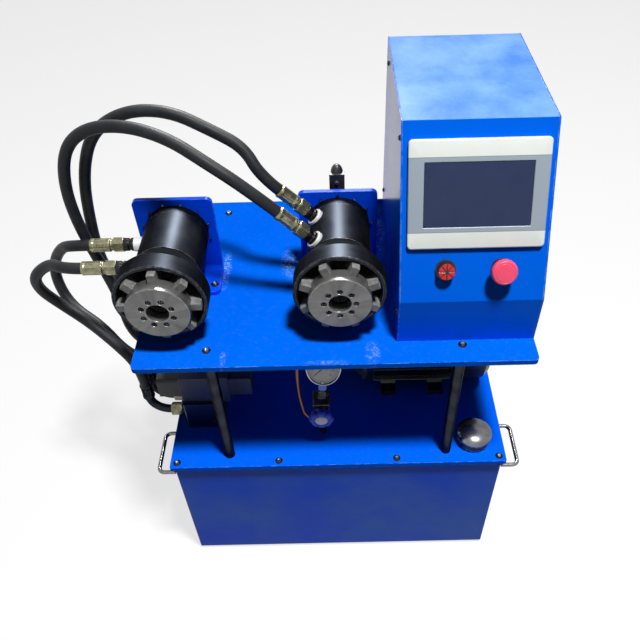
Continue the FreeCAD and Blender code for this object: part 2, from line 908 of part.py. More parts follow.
caps = new_body("rear_caps", several=True)
cap_bore = core + size.assembly_clearance
spigot = cylinder - size.running_clearance
for head in HEADS.values():
    add_revolution(caps, [(cap_bore, ZERO), (barrel_radius, ZERO),
                          (barrel_radius, size.cap_length), (spigot, size.cap_length),
                          (spigot, size.cap_length + size.spigot_length),
                          (cap_bore, size.cap_length + size.spigot_length)], pair_shift(head))
for head in HEADS.values():
    across, height, _ = pair_shift(head)
    sketch = new_sketch(caps, "XY_Plane", (across, ZERO, height))
    draw_circle_ring(sketch, size.cap_screw_shank + 2 * size.screw_clearance,
                     size.cap_screw_circle, 4, 45.0)
    cut_pocket(caps, sketch, size.cap_screw_depth + size.assembly_clearance, back=True)
put_on_head(caps, LEFT)

tubes = new_body("core_tubes", several=True)
backing = size.backing_diameter / 2
tube_back = -(size.core_tail)
for head in HEADS.values():
    add_revolution(tubes, [(bore, tube_back), (core, tube_back), (core, backing_back),
                           (backing, backing_back), (backing, size.backing_front),
                           (bore, size.backing_front)], pair_shift(head))
for head in HEADS.values():
    across, height, _ = pair_shift(head, size.backing_front)
    sketch = new_sketch(tubes, "XY_Plane", (across, ZERO, height))
    draw_circle_ring(sketch, size.tie_shank + 2 * size.screw_clearance, size.tie_circle, 8,
                     head["start"] + 22.5)
    cut_pocket(tubes, sketch, size.backing_thick)
put_on_head(tubes, LEFT)


def make_barrel(name, head):
    """The cylinder: open bore behind, gland in front, two oil ports on one side."""
    gland_bore = sleeve + size.running_clearance / 2
    body = new_body(name)
    add_revolution(body, [(cylinder, size.cap_length), (barrel_radius, size.cap_length),
                          (barrel_radius, size.barrel_front), (gland_bore, size.barrel_front),
                          (gland_bore, size.barrel_front - size.gland_length),
                          (cylinder, size.barrel_front - size.gland_length)])
    seat = new_sketch(body, "YZ_Plane", (ZERO, ZERO, -size.port_seat))
    hole = new_sketch(body, "YZ_Plane", (ZERO, ZERO, -(cylinder - 5)))
    for height in (size.rear_port, size.front_port):
        draw_circle(seat, size.boss_diameter + 2 * size.assembly_clearance, (ZERO, height))
        draw_circle(hole, size.port_thread + 2 * size.screw_clearance, (ZERO, height))
    cut_pocket(body, seat, barrel_radius - size.port_seat + 5)
    cut_pocket(body, hole, size.port_seat - cylinder + 10)
    put_on_head(body, head, head["port"] - 180.0)


def make_piston(name, head):
    """Ring piston with the sleeve that pushes the closing cone forward."""
    ring = cylinder - size.running_clearance
    ring_bore = core + size.running_clearance
    hollow = size.sleeve_bore / 2
    body = new_body(name)
    add_revolution(body, [(ring_bore, ring_back), (ring, ring_back),
                          (ring, ring_back + size.ring_length),
                          (sleeve, ring_back + size.ring_length), (sleeve, size.sleeve_front),
                          (hollow, size.sleeve_front),
                          (hollow, ring_back + size.ring_core_length),
                          (ring_bore, ring_back + size.ring_core_length)])
    put_on_head(body, head)


def make_closing_cone(name, head):
    """The flared collar whose inner cone squeezes the jaws together."""
    hub = sleeve + size.running_clearance / 2
    hollow = size.sleeve_bore / 2
    rim = size.rim_front
    lip = cone_radius(rim - size.rim_chamfer_inner)
    body = new_body(name)
    add_revolution(body, [(hub, cone_start), (barrel_radius, cone_start),
                          (collar, cone_start + size.flare_length),
                          (collar, rim - size.rim_chamfer_outer),
                          (collar - size.rim_chamfer_outer, rim),
                          (lip + size.rim_chamfer_inner, rim),
                          (lip, rim - size.rim_chamfer_inner),
                          (size.cone_back_diameter / 2, size.cone_back),
                          (hollow, size.cone_back), (hollow, size.sleeve_front),
                          (hub, size.sleeve_front)])
    put_on_head(body, head)


def make_jaw(name, head, number):
    """One of eight sliding jaws: die block inside the cone, finger in the disc's slot."""
    body = new_body(name)
    half = size.jaw_width / 2
    flank = tangent(size.jaw_wedge)
    closed_tip = bore - jaw_travel
    tip_half = closed_tip * flank - size.jaw_wedge_relief
    shoulder = bore + (half - tip_half) / flank
    inner = bore * 0.8
    inner_half = tip_half - (bore - inner) * flank
    far = size.finger_length + cone_radius(size.die_front)
    back = size.backing_front + size.assembly_clearance
    sketch = new_sketch(body, "XY_Plane", (ZERO, ZERO, back))
    draw_polygon(sketch, [(inner, -inner_half), (shoulder, -half), (far, -half), (far, half),
                          (shoulder, half), (inner, inner_half)])
    tip = size.die_front + size.finger_length
    add_pad(body, sketch, tip - back)
    rub = size.jaw_slide_clearance / cosine(size.cone_angle)
    cut_groove(body, [(cone_radius(back) - rub, back),
                      (cone_radius(size.die_front) - rub, size.die_front),
                      (cone_radius(size.die_front) - rub, tip), (far * 1.2, tip),
                      (far * 1.2, back)])
    cut_groove(body, [(ZERO, back), (bore, back), (bore, size.die_front),
                      (size.finger_inner, size.die_front), (size.finger_inner, tip), (ZERO, tip)])
    put_on_head(body, head, head["start"] + 45.0 * number)


def make_disc(name, head):
    """The front disc that guides the jaws, with counterbored holes for the tie screws."""
    body = new_body(name)
    edge = size.disc_diameter / 2
    ease = size.disc_chamfer
    add_revolution(body, [(bore, disc_back), (edge, disc_back), (edge, disc_front - ease),
                          (edge - ease, disc_front), (bore + ease, disc_front),
                          (bore, disc_front - ease)])
    half = size.jaw_width / 2
    finger_corner = root(size.finger_inner * size.finger_inner - half * half)
    slot_start = finger_corner - jaw_travel - size.assembly_clearance
    slot_half = half + size.running_clearance
    before = body.Shape.Volume
    sketch = new_sketch(body, "XY_Plane", (ZERO, ZERO, disc_back))
    draw_rectangle(sketch, slot_start, edge + 5, -slot_half, slot_half)
    slot = cut_pocket(body, sketch, size.finger_length, back=True)
    ring = body.newObject("PartDesign::PolarPattern", name + "_slots")
    ring.Originals = [slot]
    ring.Axis = (sketch, ["N_Axis"])
    ring.Angle = 360
    ring.Occurrences = 8
    body.Tip = ring
    doc.recompute()
    if before - body.Shape.Volume < 7.5 * (before - slot.Shape.Volume):
        raise RuntimeError("the slots of %s are not all cut" % name)
    sketch = new_sketch(body, "XY_Plane", (ZERO, ZERO, disc_front))
    draw_circle_ring(sketch, size.disc_hole, size.tie_circle, 8, 22.5)
    cut_pocket(body, sketch, size.disc_hole_depth)
    sketch = new_sketch(body, "XY_Plane", (ZERO, ZERO, disc_front))
    draw_circle_ring(sketch, size.tie_shank + 2 * size.screw_clearance, size.tie_circle, 8, 22.5)
    cut_pocket(body, sketch, size.disc_thick)
    put_on_head(body, head, head["start"])


for side, head in HEADS.items():
    make_barrel(side + "_barrel", head)
    make_piston(side + "_piston", head)
    make_closing_cone(side + "_closing_cone", head)
    for number in range(8):
        make_jaw("%s_jaw_%d" % (side, number + 1), head, number)
    make_disc(side + "_front_disc", head)


def head_point(head, across, up, forward):
    """A point given round a head's axis, in the part's own frame."""
    return Vector(float(head["place"]) + float(across), float(head["face"]) - float(forward),
                  float(size.head_axis_level) + float(up))


tie_seat = disc_front - size.disc_hole_depth
tie_length = tie_seat - backing_back - size.assembly_clearance
tie_screw = turned_solid([(0, -tie_length), (size.tie_shank / 2, -tie_length),
                          (size.tie_shank / 2, 0), (size.tie_head / 2, 0),
                          (size.tie_head / 2, size.tie_head_length), (0, size.tie_head_length)])
cap_screw = turned_solid([(0, -(thick + size.cap_screw_depth)),
                          (size.cap_screw_shank / 2, -(thick + size.cap_screw_depth)),
                          (size.cap_screw_shank / 2, 0), (size.cap_screw_head / 2, 0),
                          (size.cap_screw_head / 2, size.cap_screw_shank),
                          (0, size.cap_screw_shank)])
nut_hole = core + size.screw_clearance
ring_nut = turned_solid([(nut_hole, 0), (size.ring_nut_diameter / 2, 0),
                         (size.ring_nut_diameter / 2, size.ring_nut_thick),
                         (nut_hole, size.ring_nut_thick)])
fasteners = []
for head in HEADS.values():
    for number in range(8):
        angle = math.radians(head["start"] + 22.5 + 45.0 * number)
        away = float(size.tie_circle) / 2
        spot = head_point(head, away * math.cos(angle), away * math.sin(angle), tie_seat)
        fasteners.append(aimed(tie_screw, spot, (0, -1, 0)))
    for number in range(4):
        angle = math.radians(45.0 + 90.0 * number)
        away = float(size.cap_screw_circle) / 2
        spot = head_point(head, away * math.cos(angle), away * math.sin(angle), -thick)
        fasteners.append(aimed(cap_screw, spot, (0, 1, 0)))
    fasteners.append(aimed(ring_nut, head_point(head, 0, 0, -thick), (0, 1, 0)))
add_feature("head_fasteners", Part.makeCompound(fasteners))


# Oil connections of the heads

port_foot = size.port_seat - size.port_thread_depth
adapter = turned_solid([(0, port_foot), (size.port_thread / 2, port_foot),
                        (size.port_thread / 2, size.port_seat),
                        (size.boss_diameter / 2, size.port_seat),
                        (size.boss_diameter / 2, size.boss_top),
                        (size.adapter_diameter / 2, size.boss_top),
                        (size.adapter_diameter / 2, size.adapter_top), (0, size.adapter_top)])
nut = hexagon_prism(size.nut_flats, size.nut_length)
step = size.ferrule_step
ferrule = turned_solid([(0, 0), (size.ferrule_diameter / 2 - step, 0),
                        (size.ferrule_diameter / 2 - step, step * 2),
                        (size.ferrule_diameter / 2, step * 3),
                        (size.ferrule_diameter / 2, size.ferrule_length - step),
                        (size.ferrule_diameter / 2 - step, size.ferrule_length),
                        (0, size.ferrule_length)])
adapters = []
fittings = []
hose_starts = {}
for side, head in HEADS.items():
    angle = math.radians(head["port"])
    out = (math.cos(angle), 0, math.sin(angle))
    for place_word, height in (("upper", size.rear_port), ("lower", size.front_port)):
        axis_point = head_point(head, 0, 0, height)
        way = Vector(*out)
        adapters.append(aimed(adapter, axis_point, out))
        fittings.append(aimed(nut, axis_point + way * float(size.adapter_top), out))
        crimp = float(size.adapter_top + size.nut_length)
        fittings.append(aimed(ferrule, axis_point + way * crimp, out))
        sleeve_end = axis_point + way * (crimp + float(size.ferrule_length))
        hose_starts["hose_%s_%s" % (side, place_word)] = (sleeve_end, way)
add_feature("port_adapters", Part.makeCompound(adapters))


# Valve manifold with two directional valves, and the hoses' lower ends

manifold = new_body("valve_manifold")
sketch = new_sketch(manifold, "XY_Plane")
draw_rectangle(sketch, size.manifold_left, size.manifold_left + size.manifold_width,
               -size.manifold_front, size.manifold_depth - size.manifold_front)
add_pad(manifold, sketch, size.manifold_height)
dress(manifold, "Chamfer", edges_where(manifold, upright), size.manifold_chamfer)
port_rows = {"hose_left_lower": size.port_row_one, "hose_left_upper": size.port_row_two,
             "hose_right_lower": size.port_row_three, "hose_right_upper": size.port_row_four}
sketch = new_sketch(manifold, "YZ_Plane", (ZERO, ZERO, size.manifold_left))
for row in port_rows.values():
    draw_circle(sketch, size.adapter_diameter, (row, size.manifold_port_rise))
add_pad(manifold, sketch, size.manifold_stub, back=True)
sketch = new_sketch(manifold, "XZ_Plane", (ZERO, ZERO, size.manifold_front))
draw_circle(sketch, size.manifold_plug,
            (size.manifold_left + size.manifold_width - size.manifold_plug, size.manifold_plug))
add_pad(manifold, sketch, size.manifold_plug_rise)
place(manifold, up=plate_top)

valves = new_body("directional_valves", several=True)
valve_left = size.valve_left
valve_right = valve_left + size.valve_body_width
for number in range(2):
    front = number * size.valve_row_pitch - size.valve_front_row
    sketch = new_sketch(valves, "XY_Plane")
    draw_rectangle(sketch, valve_left, valve_right, front, front + size.valve_depth)
    add_pad(valves, sketch, size.valve_body_height)
    sketch = new_sketch(valves, "YZ_Plane", (ZERO, ZERO, valve_left - size.solenoid_length))
    draw_rectangle(sketch, front + size.solenoid_inset, front + size.valve_depth
                   - size.solenoid_inset, size.solenoid_foot, size.solenoid_height)
    add_pad(valves, sketch, size.valve_body_width + 2 * size.solenoid_length)
solenoid_edges = edges_where(valves, lambda a, b: abs(a.y - b.y) < 1e-4 and abs(a.z - b.z) < 1e-4
                             and abs(abs(a.x - b.x) - size.solenoid_length.value) < 1e-3)
dress(valves, "Fillet", solenoid_edges, size.solenoid_corner)
place(valves, up=plate_top + size.manifold_height)

stub_end = size.manifold_left - size.manifold_stub
port_level = plate_top + size.manifold_port_rise
nut_left = stub_end - size.long_nut_length
turn_centre = (float(nut_left), float(port_level + size.elbow_bend))
long_nut = hexagon_prism(size.nut_flats, size.long_nut_length)
hose_ends = {}
for name, row in port_rows.items():
    start = Vector(float(stub_end), float(row), float(port_level))
    fittings.append(aimed(long_nut, start, (-1, 0, 0)))
    ring = Part.Face(Part.Wire(Part.makeCircle(float(size.elbow_diameter) / 2,
                                               Vector(float(nut_left), float(row),
                                                      float(port_level)), Vector(1, 0, 0))))
    fittings.append(ring.revolve(Vector(turn_centre[0], float(row), turn_centre[1]),
                                 Vector(0, 1, 0), 90))
    foot = Vector(turn_centre[0] - float(size.elbow_bend), float(row), turn_centre[1])
    fittings.append(aimed(ferrule, foot, (0, 0, 1)))
    hose_ends[name] = foot + Vector(0, 0, float(size.ferrule_length))
add_feature("hose_fittings", Part.makeCompound(fittings))


# Control box: folded sheet with a slanted front, closed by two side covers

box_right = deck_end
box_face = -(size.box_front)
box_rear = box_face + size.box_depth
sheet_wall = size.box_sheet
slant_rise = size.box_height - size.box_bend_height
slant_angle = Size(math.degrees(math.atan(size.box_slant_back.value / slant_rise.value)),
                   "(atan(%s / %s) / (1 deg))" % (size.box_slant_back.text, slant_rise.text))
wrap_width = size.box_width - 2 * sheet_wall


def box_outline(inset):
    """Corners of the box seen from the side, moved inward by a wall."""
    bend_drop = inset * tangent(slant_angle / 2)
    top_shift = inset * (1 - sine(slant_angle)) / cosine(slant_angle)
    return [(box_face + inset, inset), (box_rear - inset, inset),
            (box_rear - inset, size.box_height - inset),
            (box_face + size.box_slant_back + top_shift, size.box_height - inset),
            (box_face + inset, size.box_bend_height - bend_drop)]


box = new_body("control_box")
sketch = new_sketch(box, "YZ_Plane", (ZERO, ZERO, box_left + sheet_wall))
draw_polygon(sketch, box_outline(ZERO))
draw_polygon(sketch, box_outline(sheet_wall))
add_pad(box, sketch, wrap_width)
long_edges = edges_where(box, lambda a, b: abs(a.y - b.y) < 1e-4 and abs(a.z - b.z) < 1e-4
                         and (abs(a.z - size.box_height.value) < 1e-3
                              or (abs(a.z - size.box_bend_height.value) < 1e-3
                                  and abs(a.y - box_face.value) < 1e-3)))
dress(box, "Fillet", long_edges, size.box_edge)

# the slant's own frame: X across, Y up the slope, Z out of it
slant_turn = 90 - slant_angle
slant_length = slant_rise / cosine(slant_angle)
panel_middle = slant_length - size.panel_top_gap - size.panel_height / 2
panel_across = box_left + size.panel_side_gap + size.panel_width / 2
operator_rise = panel_middle - size.panel_height / 2 - size.operator_drop
box_middle = box_left + size.box_width / 2
LEAN = (Vector(1, 0, 0), slant_turn)
operator_spots = [box_middle - size.operator_spacing / 2, box_middle + size.operator_spacing / 2]


def slant_sketch(body, across, up_slope):
    """A sketch on the slanted front, centred at a place on it."""
    return new_sketch(body, "XY_Plane",
                      (across, box_face + up_slope * sine(slant_angle),
                       size.box_bend_height + up_slope * cosine(slant_angle)), LEAN)


def put_on_slant(body, across, up_slope, out=ZERO):
    """Seats a piece on the slanted front with its own Z along the outward normal."""
    place(body, across,
          box_face + up_slope * sine(slant_angle) - out * cosine(slant_angle),
          deck_top + size.box_bend_height + up_slope * cosine(slant_angle)
          + out * sine(slant_angle), Rotation(Vector(1, 0, 0), slant_turn.value))
    bind(body, "Placement.Rotation.Angle", slant_turn)


back_wide = size.panel_width / 2 - size.panel_back_inset
back_high = size.panel_height / 2 - size.panel_back_inset
cutout = size.assembly_clearance
sketch = slant_sketch(box, panel_across, panel_middle)
draw_rectangle(sketch, -(back_wide + cutout), back_wide + cutout,
               -(back_high + cutout), back_high + cutout)
cut_pocket(box, sketch, sheet_wall * 3)
for spot in operator_spots:
    sketch = slant_sketch(box, spot, operator_rise)
    draw_circle(sketch, size.collar_body_diameter + 2 * size.assembly_clearance)
    cut_pocket(box, sketch, sheet_wall * 3)
sketch = new_sketch(box, "XY_Plane", (ZERO, ZERO, sheet_wall))
for spot in pillar_spots:
    if spot[0].value > box_left.value and spot[1].value > box_face.value:
        draw_circle(sketch, size.button_diameter + 2 * size.screw_clearance, spot)
cut_pocket(box, sketch, sheet_wall)
place(box, up=deck_top)

covers = new_body("box_side_covers", several=True)
for left_side in (box_left, box_right - sheet_wall):
    sketch = new_sketch(covers, "YZ_Plane", (ZERO, ZERO, left_side))
    draw_polygon(sketch, box_outline(ZERO))
    add_pad(covers, sketch, sheet_wall)
place(covers, up=deck_top)

bezel = new_body("panel_bezel")
half_wide = size.panel_width / 2
half_high = size.panel_height / 2
sketch = new_sketch(bezel, "XY_Plane")
draw_rectangle(sketch, -half_wide, half_wide, -half_high, half_high)
add_pad(bezel, sketch, size.bezel_thick)
dress(bezel, "Fillet", edges_where(bezel, upright), size.bezel_corner)
sketch = new_sketch(bezel, "XY_Plane")
draw_rectangle(sketch, -back_wide, back_wide, -back_high, back_high)
add_pad(bezel, sketch, size.panel_back_depth, back=True)
sketch = new_sketch(bezel, "XY_Plane", (ZERO, ZERO, size.bezel_thick))
screen_wide = half_wide - size.bezel_side_border
screen_high = half_high - size.bezel_band
draw_rectangle(sketch, -screen_wide, screen_wide, -screen_high, screen_high)
cut_pocket(bezel, sketch, size.screen_recess)
put_on_slant(bezel, panel_across, panel_middle)

screen = new_body("panel_screen")
sketch = new_sketch(screen, "XY_Plane")
gap = size.assembly_clearance
draw_rectangle(sketch, -(screen_wide - gap), screen_wide - gap,
               -(screen_high - gap), screen_high - gap)
add_pad(screen, sketch, size.screen_recess / 2)
put_on_slant(screen, panel_across, panel_middle, size.bezel_thick - size.screen_recess)

# collars: a ring on the sheet and a threaded body behind it, open at the front
collars = new_body("operator_collars", several=True)
collar_wall = size.collar_opening / 2
for number, spot in enumerate(operator_spots):
    shift = (spot - operator_spots[0], ZERO, ZERO)
    add_revolution(collars, [(collar_wall, -size.collar_body_depth),
                             (size.collar_body_diameter / 2, -size.collar_body_depth),
                             (size.collar_body_diameter / 2, ZERO),
                             (size.collar_ring_diameter / 2, ZERO),
                             (size.collar_ring_diameter / 2, size.collar_ring_rise),
                             (collar_wall, size.collar_ring_rise)], shift)
put_on_slant(collars, operator_spots[0], operator_rise)

lens = new_body("lamp_lens")
lens_stem = collar_wall - size.assembly_clearance
lens_wide = size.lens_diameter / 2
ring_top = size.collar_ring_rise
lens_low = ring_top - size.lens_depth
lens_top = ring_top + size.lens_rise
add_revolution(lens, [(ZERO, lens_low), (lens_stem, lens_low), (lens_stem, ring_top),
                      (lens_wide, ring_top), (lens_wide, lens_top - size.lens_edge),
                      (lens_wide - size.lens_edge, lens_top), (ZERO, lens_top)])
put_on_slant(lens, operator_spots[0], operator_rise)

stop = new_body("estop_button")
stop_stem = collar_wall - size.running_clearance
stop_wide = size.stop_diameter / 2
stop_low = ring_top + size.stop_rise - size.stop_cap_thick
stop_foot = size.stop_travel + size.stop_spare - size.collar_body_depth
stop_top = ring_top + size.stop_rise
add_revolution(stop, [(ZERO, stop_foot), (stop_stem, stop_foot), (stop_stem, stop_low),
                      (stop_wide - size.stop_edge / 2, stop_low),
                      (stop_wide, stop_low + size.stop_edge),
                      (stop_wide, stop_top - size.stop_edge),
                      (stop_wide - size.stop_edge, stop_top), (ZERO, stop_top)])
put_on_slant(stop, operator_spots[1], operator_rise)


# Filler neck with its mushroom cap

neck = new_body("filler_neck")
tube = size.filler_tube / 2
flange = size.filler_flange / 2
add_revolution(neck, [(tube - size.filler_wall, -size.filler_depth), (tube, -size.filler_depth),
                      (tube, ZERO), (flange, ZERO), (flange, size.filler_flange_thick),
                      (tube - size.filler_wall, size.filler_flange_thick)])
place(neck, filler_right, -filler_forward, plate_top)

cap = new_body("filler_cap")
wide = size.cap_diameter / 2
plug = tube - size.filler_wall - size.assembly_clearance
cap_dome = size.cap_height - size.cap_skirt - size.cap_skirt_low
add_revolution(cap, [(ZERO, -size.cap_plug), (plug, -size.cap_plug), (plug, ZERO),
                     (size.cap_neck / 2, ZERO),
                     (size.cap_neck / 2, size.cap_skirt_low - 2),
                     (wide, size.cap_skirt_low), (wide, size.cap_skirt_low + size.cap_skirt)]
               + [(wide * cosine(climb),
                   size.cap_skirt_low + size.cap_skirt + cap_dome * sine(climb))
                  for climb in (20, 40, 60, 75)] + [(ZERO, size.cap_height)])
place(cap, filler_right, -filler_forward, plate_top + size.filler_flange_thick)


# Pressure gauge on its shut-off valve
# The gauge is drawn with Y along its stem and Z out of its face.

GAUGE_TURN = Rotation(Vector(1, 0, 0), 90 - size.gauge_tilt.value).multiply(
    Rotation(Vector(0, 0, 1), -size.gauge_lean.value))


def put_on_gauge(body):
    place(body, size.gauge_place, -size.gauge_forward, size.gauge_level, GAUGE_TURN)


case_radius = size.gauge_diameter / 2
case_hollow = case_radius - size.gauge_wall
block_half = size.gauge_block_width / 2
dial_level = size.gauge_case_front - size.gauge_recess
crystal_low = size.gauge_case_front - size.crystal_drop - size.crystal_thick
stem_away = -size.gauge_stem_length

gauge = new_body("pressure_gauge", several=True)
add_revolution(gauge, [(ZERO, -size.gauge_case_back), (case_radius - 2, -size.gauge_case_back),
                       (case_radius - 2, size.gauge_case_front - 5),
                       (case_radius, size.gauge_case_front - 5),
                       (case_radius, size.gauge_case_front),
                       (case_hollow, size.gauge_case_front), (case_hollow, dial_level),
                       (size.needle_pin / 2, dial_level),
                       (size.needle_pin / 2, dial_level + size.needle_lift),
                       (ZERO, dial_level + size.needle_lift)], (ZERO, ZERO, stem_away))
stem_foot = size.gauge_stem_foot
sketch = new_sketch(gauge, "XZ_Plane", (ZERO, ZERO, -stem_foot))
draw_circle(sketch, size.gauge_stem)
add_pad(gauge, sketch, size.gauge_stem_length - stem_foot - case_radius + 6, back=True)
crystal_edge = case_hollow - size.assembly_clearance
add_revolution(gauge, [(ZERO, crystal_low), (crystal_edge, crystal_low),
                       (crystal_edge, crystal_low + size.crystal_thick),
                       (ZERO, crystal_low + size.crystal_thick)], (ZERO, ZERO, stem_away))
put_on_gauge(gauge)

needle = new_body("gauge_needle")
hub = size.needle_hub / 2
sketch = new_sketch(needle, "XY_Plane", (ZERO, size.gauge_stem_length,
                                         dial_level + size.assembly_clearance),
                    (Vector(0, 0, 1), size.needle_rest_angle))
half_tip = size.needle_width / 4
draw_polygon(sketch, [(-half_tip, size.needle_length), (-size.needle_width / 2, ZERO),
                      (-size.needle_width, -size.needle_tail),
                      (size.needle_width, -size.needle_tail), (size.needle_width / 2, ZERO),
                      (half_tip, size.needle_length)])
add_pad(needle, sketch, size.needle_thick)
sketch = new_sketch(needle, "XY_Plane", (ZERO, size.gauge_stem_length,
                                         dial_level + size.assembly_clearance))
draw_circle(sketch, size.needle_hub)
add_pad(needle, sketch, size.needle_thick * 2.5)
sketch = new_sketch(needle, "XY_Plane", (ZERO, size.gauge_stem_length,
                                         dial_level + size.assembly_clearance))
draw_circle(sketch, size.needle_pin + 2 * size.running_clearance)
cut_pocket(needle, sketch, size.needle_lift, back=True)
put_on_gauge(needle)

# Valve block on its riser, union nut under the gauge, thin pipe to the pump
COPPER_BENDS = [(-33, 3, -40), (-41, 12, 6), (-44, 28, 60), (-36, 68, 112)]
COPPER_DROP = [(0, -37, 78), (0, 0, 42)]
block_depth = size.gauge_block_depth / 2
block_bottom = size.gauge_level - block_half
middle = Vector(float(size.gauge_place), -float(size.gauge_forward), float(size.gauge_level))
block = Part.makeBox(float(size.gauge_block_width), float(size.gauge_block_depth),
                     float(size.gauge_block_width))
block.translate(middle - Vector(float(block_half), float(block_depth), float(block_half)))
block = block.makeChamfer(1.5, block.Edges)
stem_way = GAUGE_TURN.multVec(Vector(0, 1, 0))
union = hexagon_prism(size.riser_nut_flats * 0.8, float(stem_foot) - 6)
union = aimed(union, middle + stem_way * 6, stem_way)
riser = Part.makeCylinder(float(size.riser_diameter) / 2, float(block_bottom - plate_top),
                          Vector(middle.x, middle.y, float(plate_top)))
riser_nut = hexagon_prism(size.riser_nut_flats, size.riser_nut_height)
riser_nut.translate(Vector(middle.x, middle.y, float(block_bottom - size.riser_nut_height)))
spindle_start = middle - Vector(0, float(block_depth), 0)
bonnet = hexagon_prism(size.riser_nut_flats * 0.7, size.wheel_gap * 0.7)
bonnet = aimed(bonnet, spindle_start, (0, -1, 0))
spindle_reach = size.wheel_gap + size.spindle_engagement
spindle = Part.makeCylinder(float(size.spindle_diameter) / 2, float(spindle_reach),
                            spindle_start, Vector(0, -1, 0))
valve_solid = block.fuse([union, riser, riser_nut, spindle, bonnet])
pipe_start = Vector(float(size.gauge_place - size.riser_diameter / 2), -float(size.gauge_forward),
                    float(plate_top + size.copper_inlet_rise))
pump_port = Vector(float(motor_right - size.copper_port_reach),
                   float(size.motor_back),
                   float(plate_top + size.motor_axis_height + size.pump_diameter / 2))
pipe_points = [pipe_start] + [middle + Vector(*point) for point in COPPER_BENDS]
pipe_points += [pump_port + Vector(*point) for point in COPPER_DROP] + [pump_port]
copper, copper_length = swept_route(pipe_points, eased_bends(pipe_points),
                                    float(size.copper_diameter))
add_feature("gauge_valve", Part.makeCompound([valve_solid, copper]))

wheel = new_body("valve_handwheel")
sketch = new_sketch(wheel, "XY_Plane")
draw_circle(sketch, size.wheel_diameter)
add_pad(wheel, sketch, size.wheel_thick)
sketch = new_sketch(wheel, "XY_Plane", (ZERO, ZERO, size.wheel_thick))
draw_circle(sketch, size.wheel_scallop, (size.wheel_scallop_circle / 2, ZERO))
scallop = cut_pocket(wheel, sketch, size.wheel_thick)
scallops = wheel.newObject("PartDesign::PolarPattern", "valve_handwheel_lobes")
scallops.Originals = [scallop]
scallops.Axis = (sketch, ["N_Axis"])
scallops.Angle = 360
scallops.Occurrences = 8
wheel.Tip = scallops
doc.recompute()
sketch = new_sketch(wheel, "XY_Plane")
draw_circle(sketch, size.spindle_diameter + 2 * size.running_clearance)
cut_pocket(wheel, sketch, size.spindle_engagement + size.assembly_clearance, back=True)
place(wheel, size.gauge_place, -(size.gauge_forward + block_depth + size.wheel_gap),
      size.gauge_level, FORWARD)


# Electric motor, fan, cowl and pump, drawn with +Z to the right along the shaft

RIGHTWARD = Rotation(Vector(0, 1, 0), 90)
motor_axis = plate_top + size.motor_axis_height


def put_on_shaft(body):
    place(body, motor_right, size.motor_back, motor_axis, RIGHTWARD)


shaft_hole = size.shaft_diameter / 2 + size.running_clearance
shield = size.motor_shield_diameter / 2
frame_core = size.motor_core / 2
motor = new_body("electric_motor")
add_revolution(motor, [(shaft_hole, ZERO), (shield, ZERO), (shield, size.motor_shield_thick),
                       (frame_core, size.motor_shield_thick),
                       (frame_core, size.motor_length - size.motor_shield_thick),
                       (shield, size.motor_length - size.motor_shield_thick),
                       (shield, size.motor_length), (shaft_hole, size.motor_length)])
fin_sketch = new_sketch(motor, "XY_Plane", (ZERO, ZERO, size.motor_shield_thick))
draw_rectangle(fin_sketch, -size.motor_fin_diameter / 2, -(frame_core - size.motor_root),
               -size.motor_fin_thick / 2, size.motor_fin_thick / 2)
fin = add_pad(motor, fin_sketch, size.motor_length - 2 * size.motor_shield_thick)
fins = motor.newObject("PartDesign::PolarPattern", "electric_motor_fins")
fins.Originals = [fin]
fins.Axis = (fin_sketch, ["N_Axis"])
fins.Angle = 360
fins.Occurrences = int(size.fin_count.value)
motor.Tip = fins
doc.recompute()
foot_half = size.motor_foot_width / 2
foot_top = size.motor_axis_height - size.motor_foot_thick
foot_root = frame_core - size.motor_foot_root
foot_neck = foot_half * size.motor_foot_neck_share
foot_spread = foot_half * size.motor_foot_spread_share
for place_along in (ZERO, size.motor_foot_spacing):
    sketch = new_sketch(motor, "XY_Plane", (ZERO, ZERO, size.motor_foot_length + place_along))
    draw_polygon(sketch, [(foot_root, -foot_neck), (foot_top, -foot_spread),
                          (foot_top, -foot_half), (size.motor_axis_height, -foot_half),
                          (size.motor_axis_height, foot_half), (foot_top, foot_half),
                          (foot_top, foot_spread), (foot_root, foot_neck)])
    add_pad(motor, sketch, size.motor_foot_length)
sketch = new_sketch(motor, "XY_Plane", (ZERO, ZERO, size.motor_length / 2))
draw_rectangle(sketch, -size.terminal_rise, -(frame_core - size.motor_root),
               -size.terminal_side / 2, size.terminal_side / 2)
add_pad(motor, sketch, size.terminal_side, both_ways=True)
put_on_shaft(motor)

fan = new_body("motor_fan")
shaft = size.shaft_diameter / 2
fan_back = size.motor_length + size.fan_gap
fan_front = fan_back + size.fan_width
coupling = size.coupling_diameter / 2
add_revolution(fan, [(ZERO, -size.shaft_tail), (coupling, -size.shaft_tail),
                     (coupling, size.coupling_length - size.shaft_tail),
                     (shaft, size.coupling_length - size.shaft_tail), (shaft, fan_back),
                     (shaft * 2, fan_back), (shaft * 2, fan_front), (ZERO, fan_front)])
sketch = new_sketch(fan, "XY_Plane", (ZERO, ZERO, fan_back))
draw_rectangle(sketch, size.blade_root, size.fan_diameter / 2, -size.blade_thick / 2,
               size.blade_thick / 2)
blade = add_pad(fan, sketch, size.fan_width)
blades = fan.newObject("PartDesign::PolarPattern", "motor_fan_blades")
blades.Originals = [blade]
blades.Axis = (sketch, ["N_Axis"])
blades.Angle = 360
blades.Occurrences = int(size.blade_count.value)
fan.Tip = blades
doc.recompute()
put_on_shaft(fan)

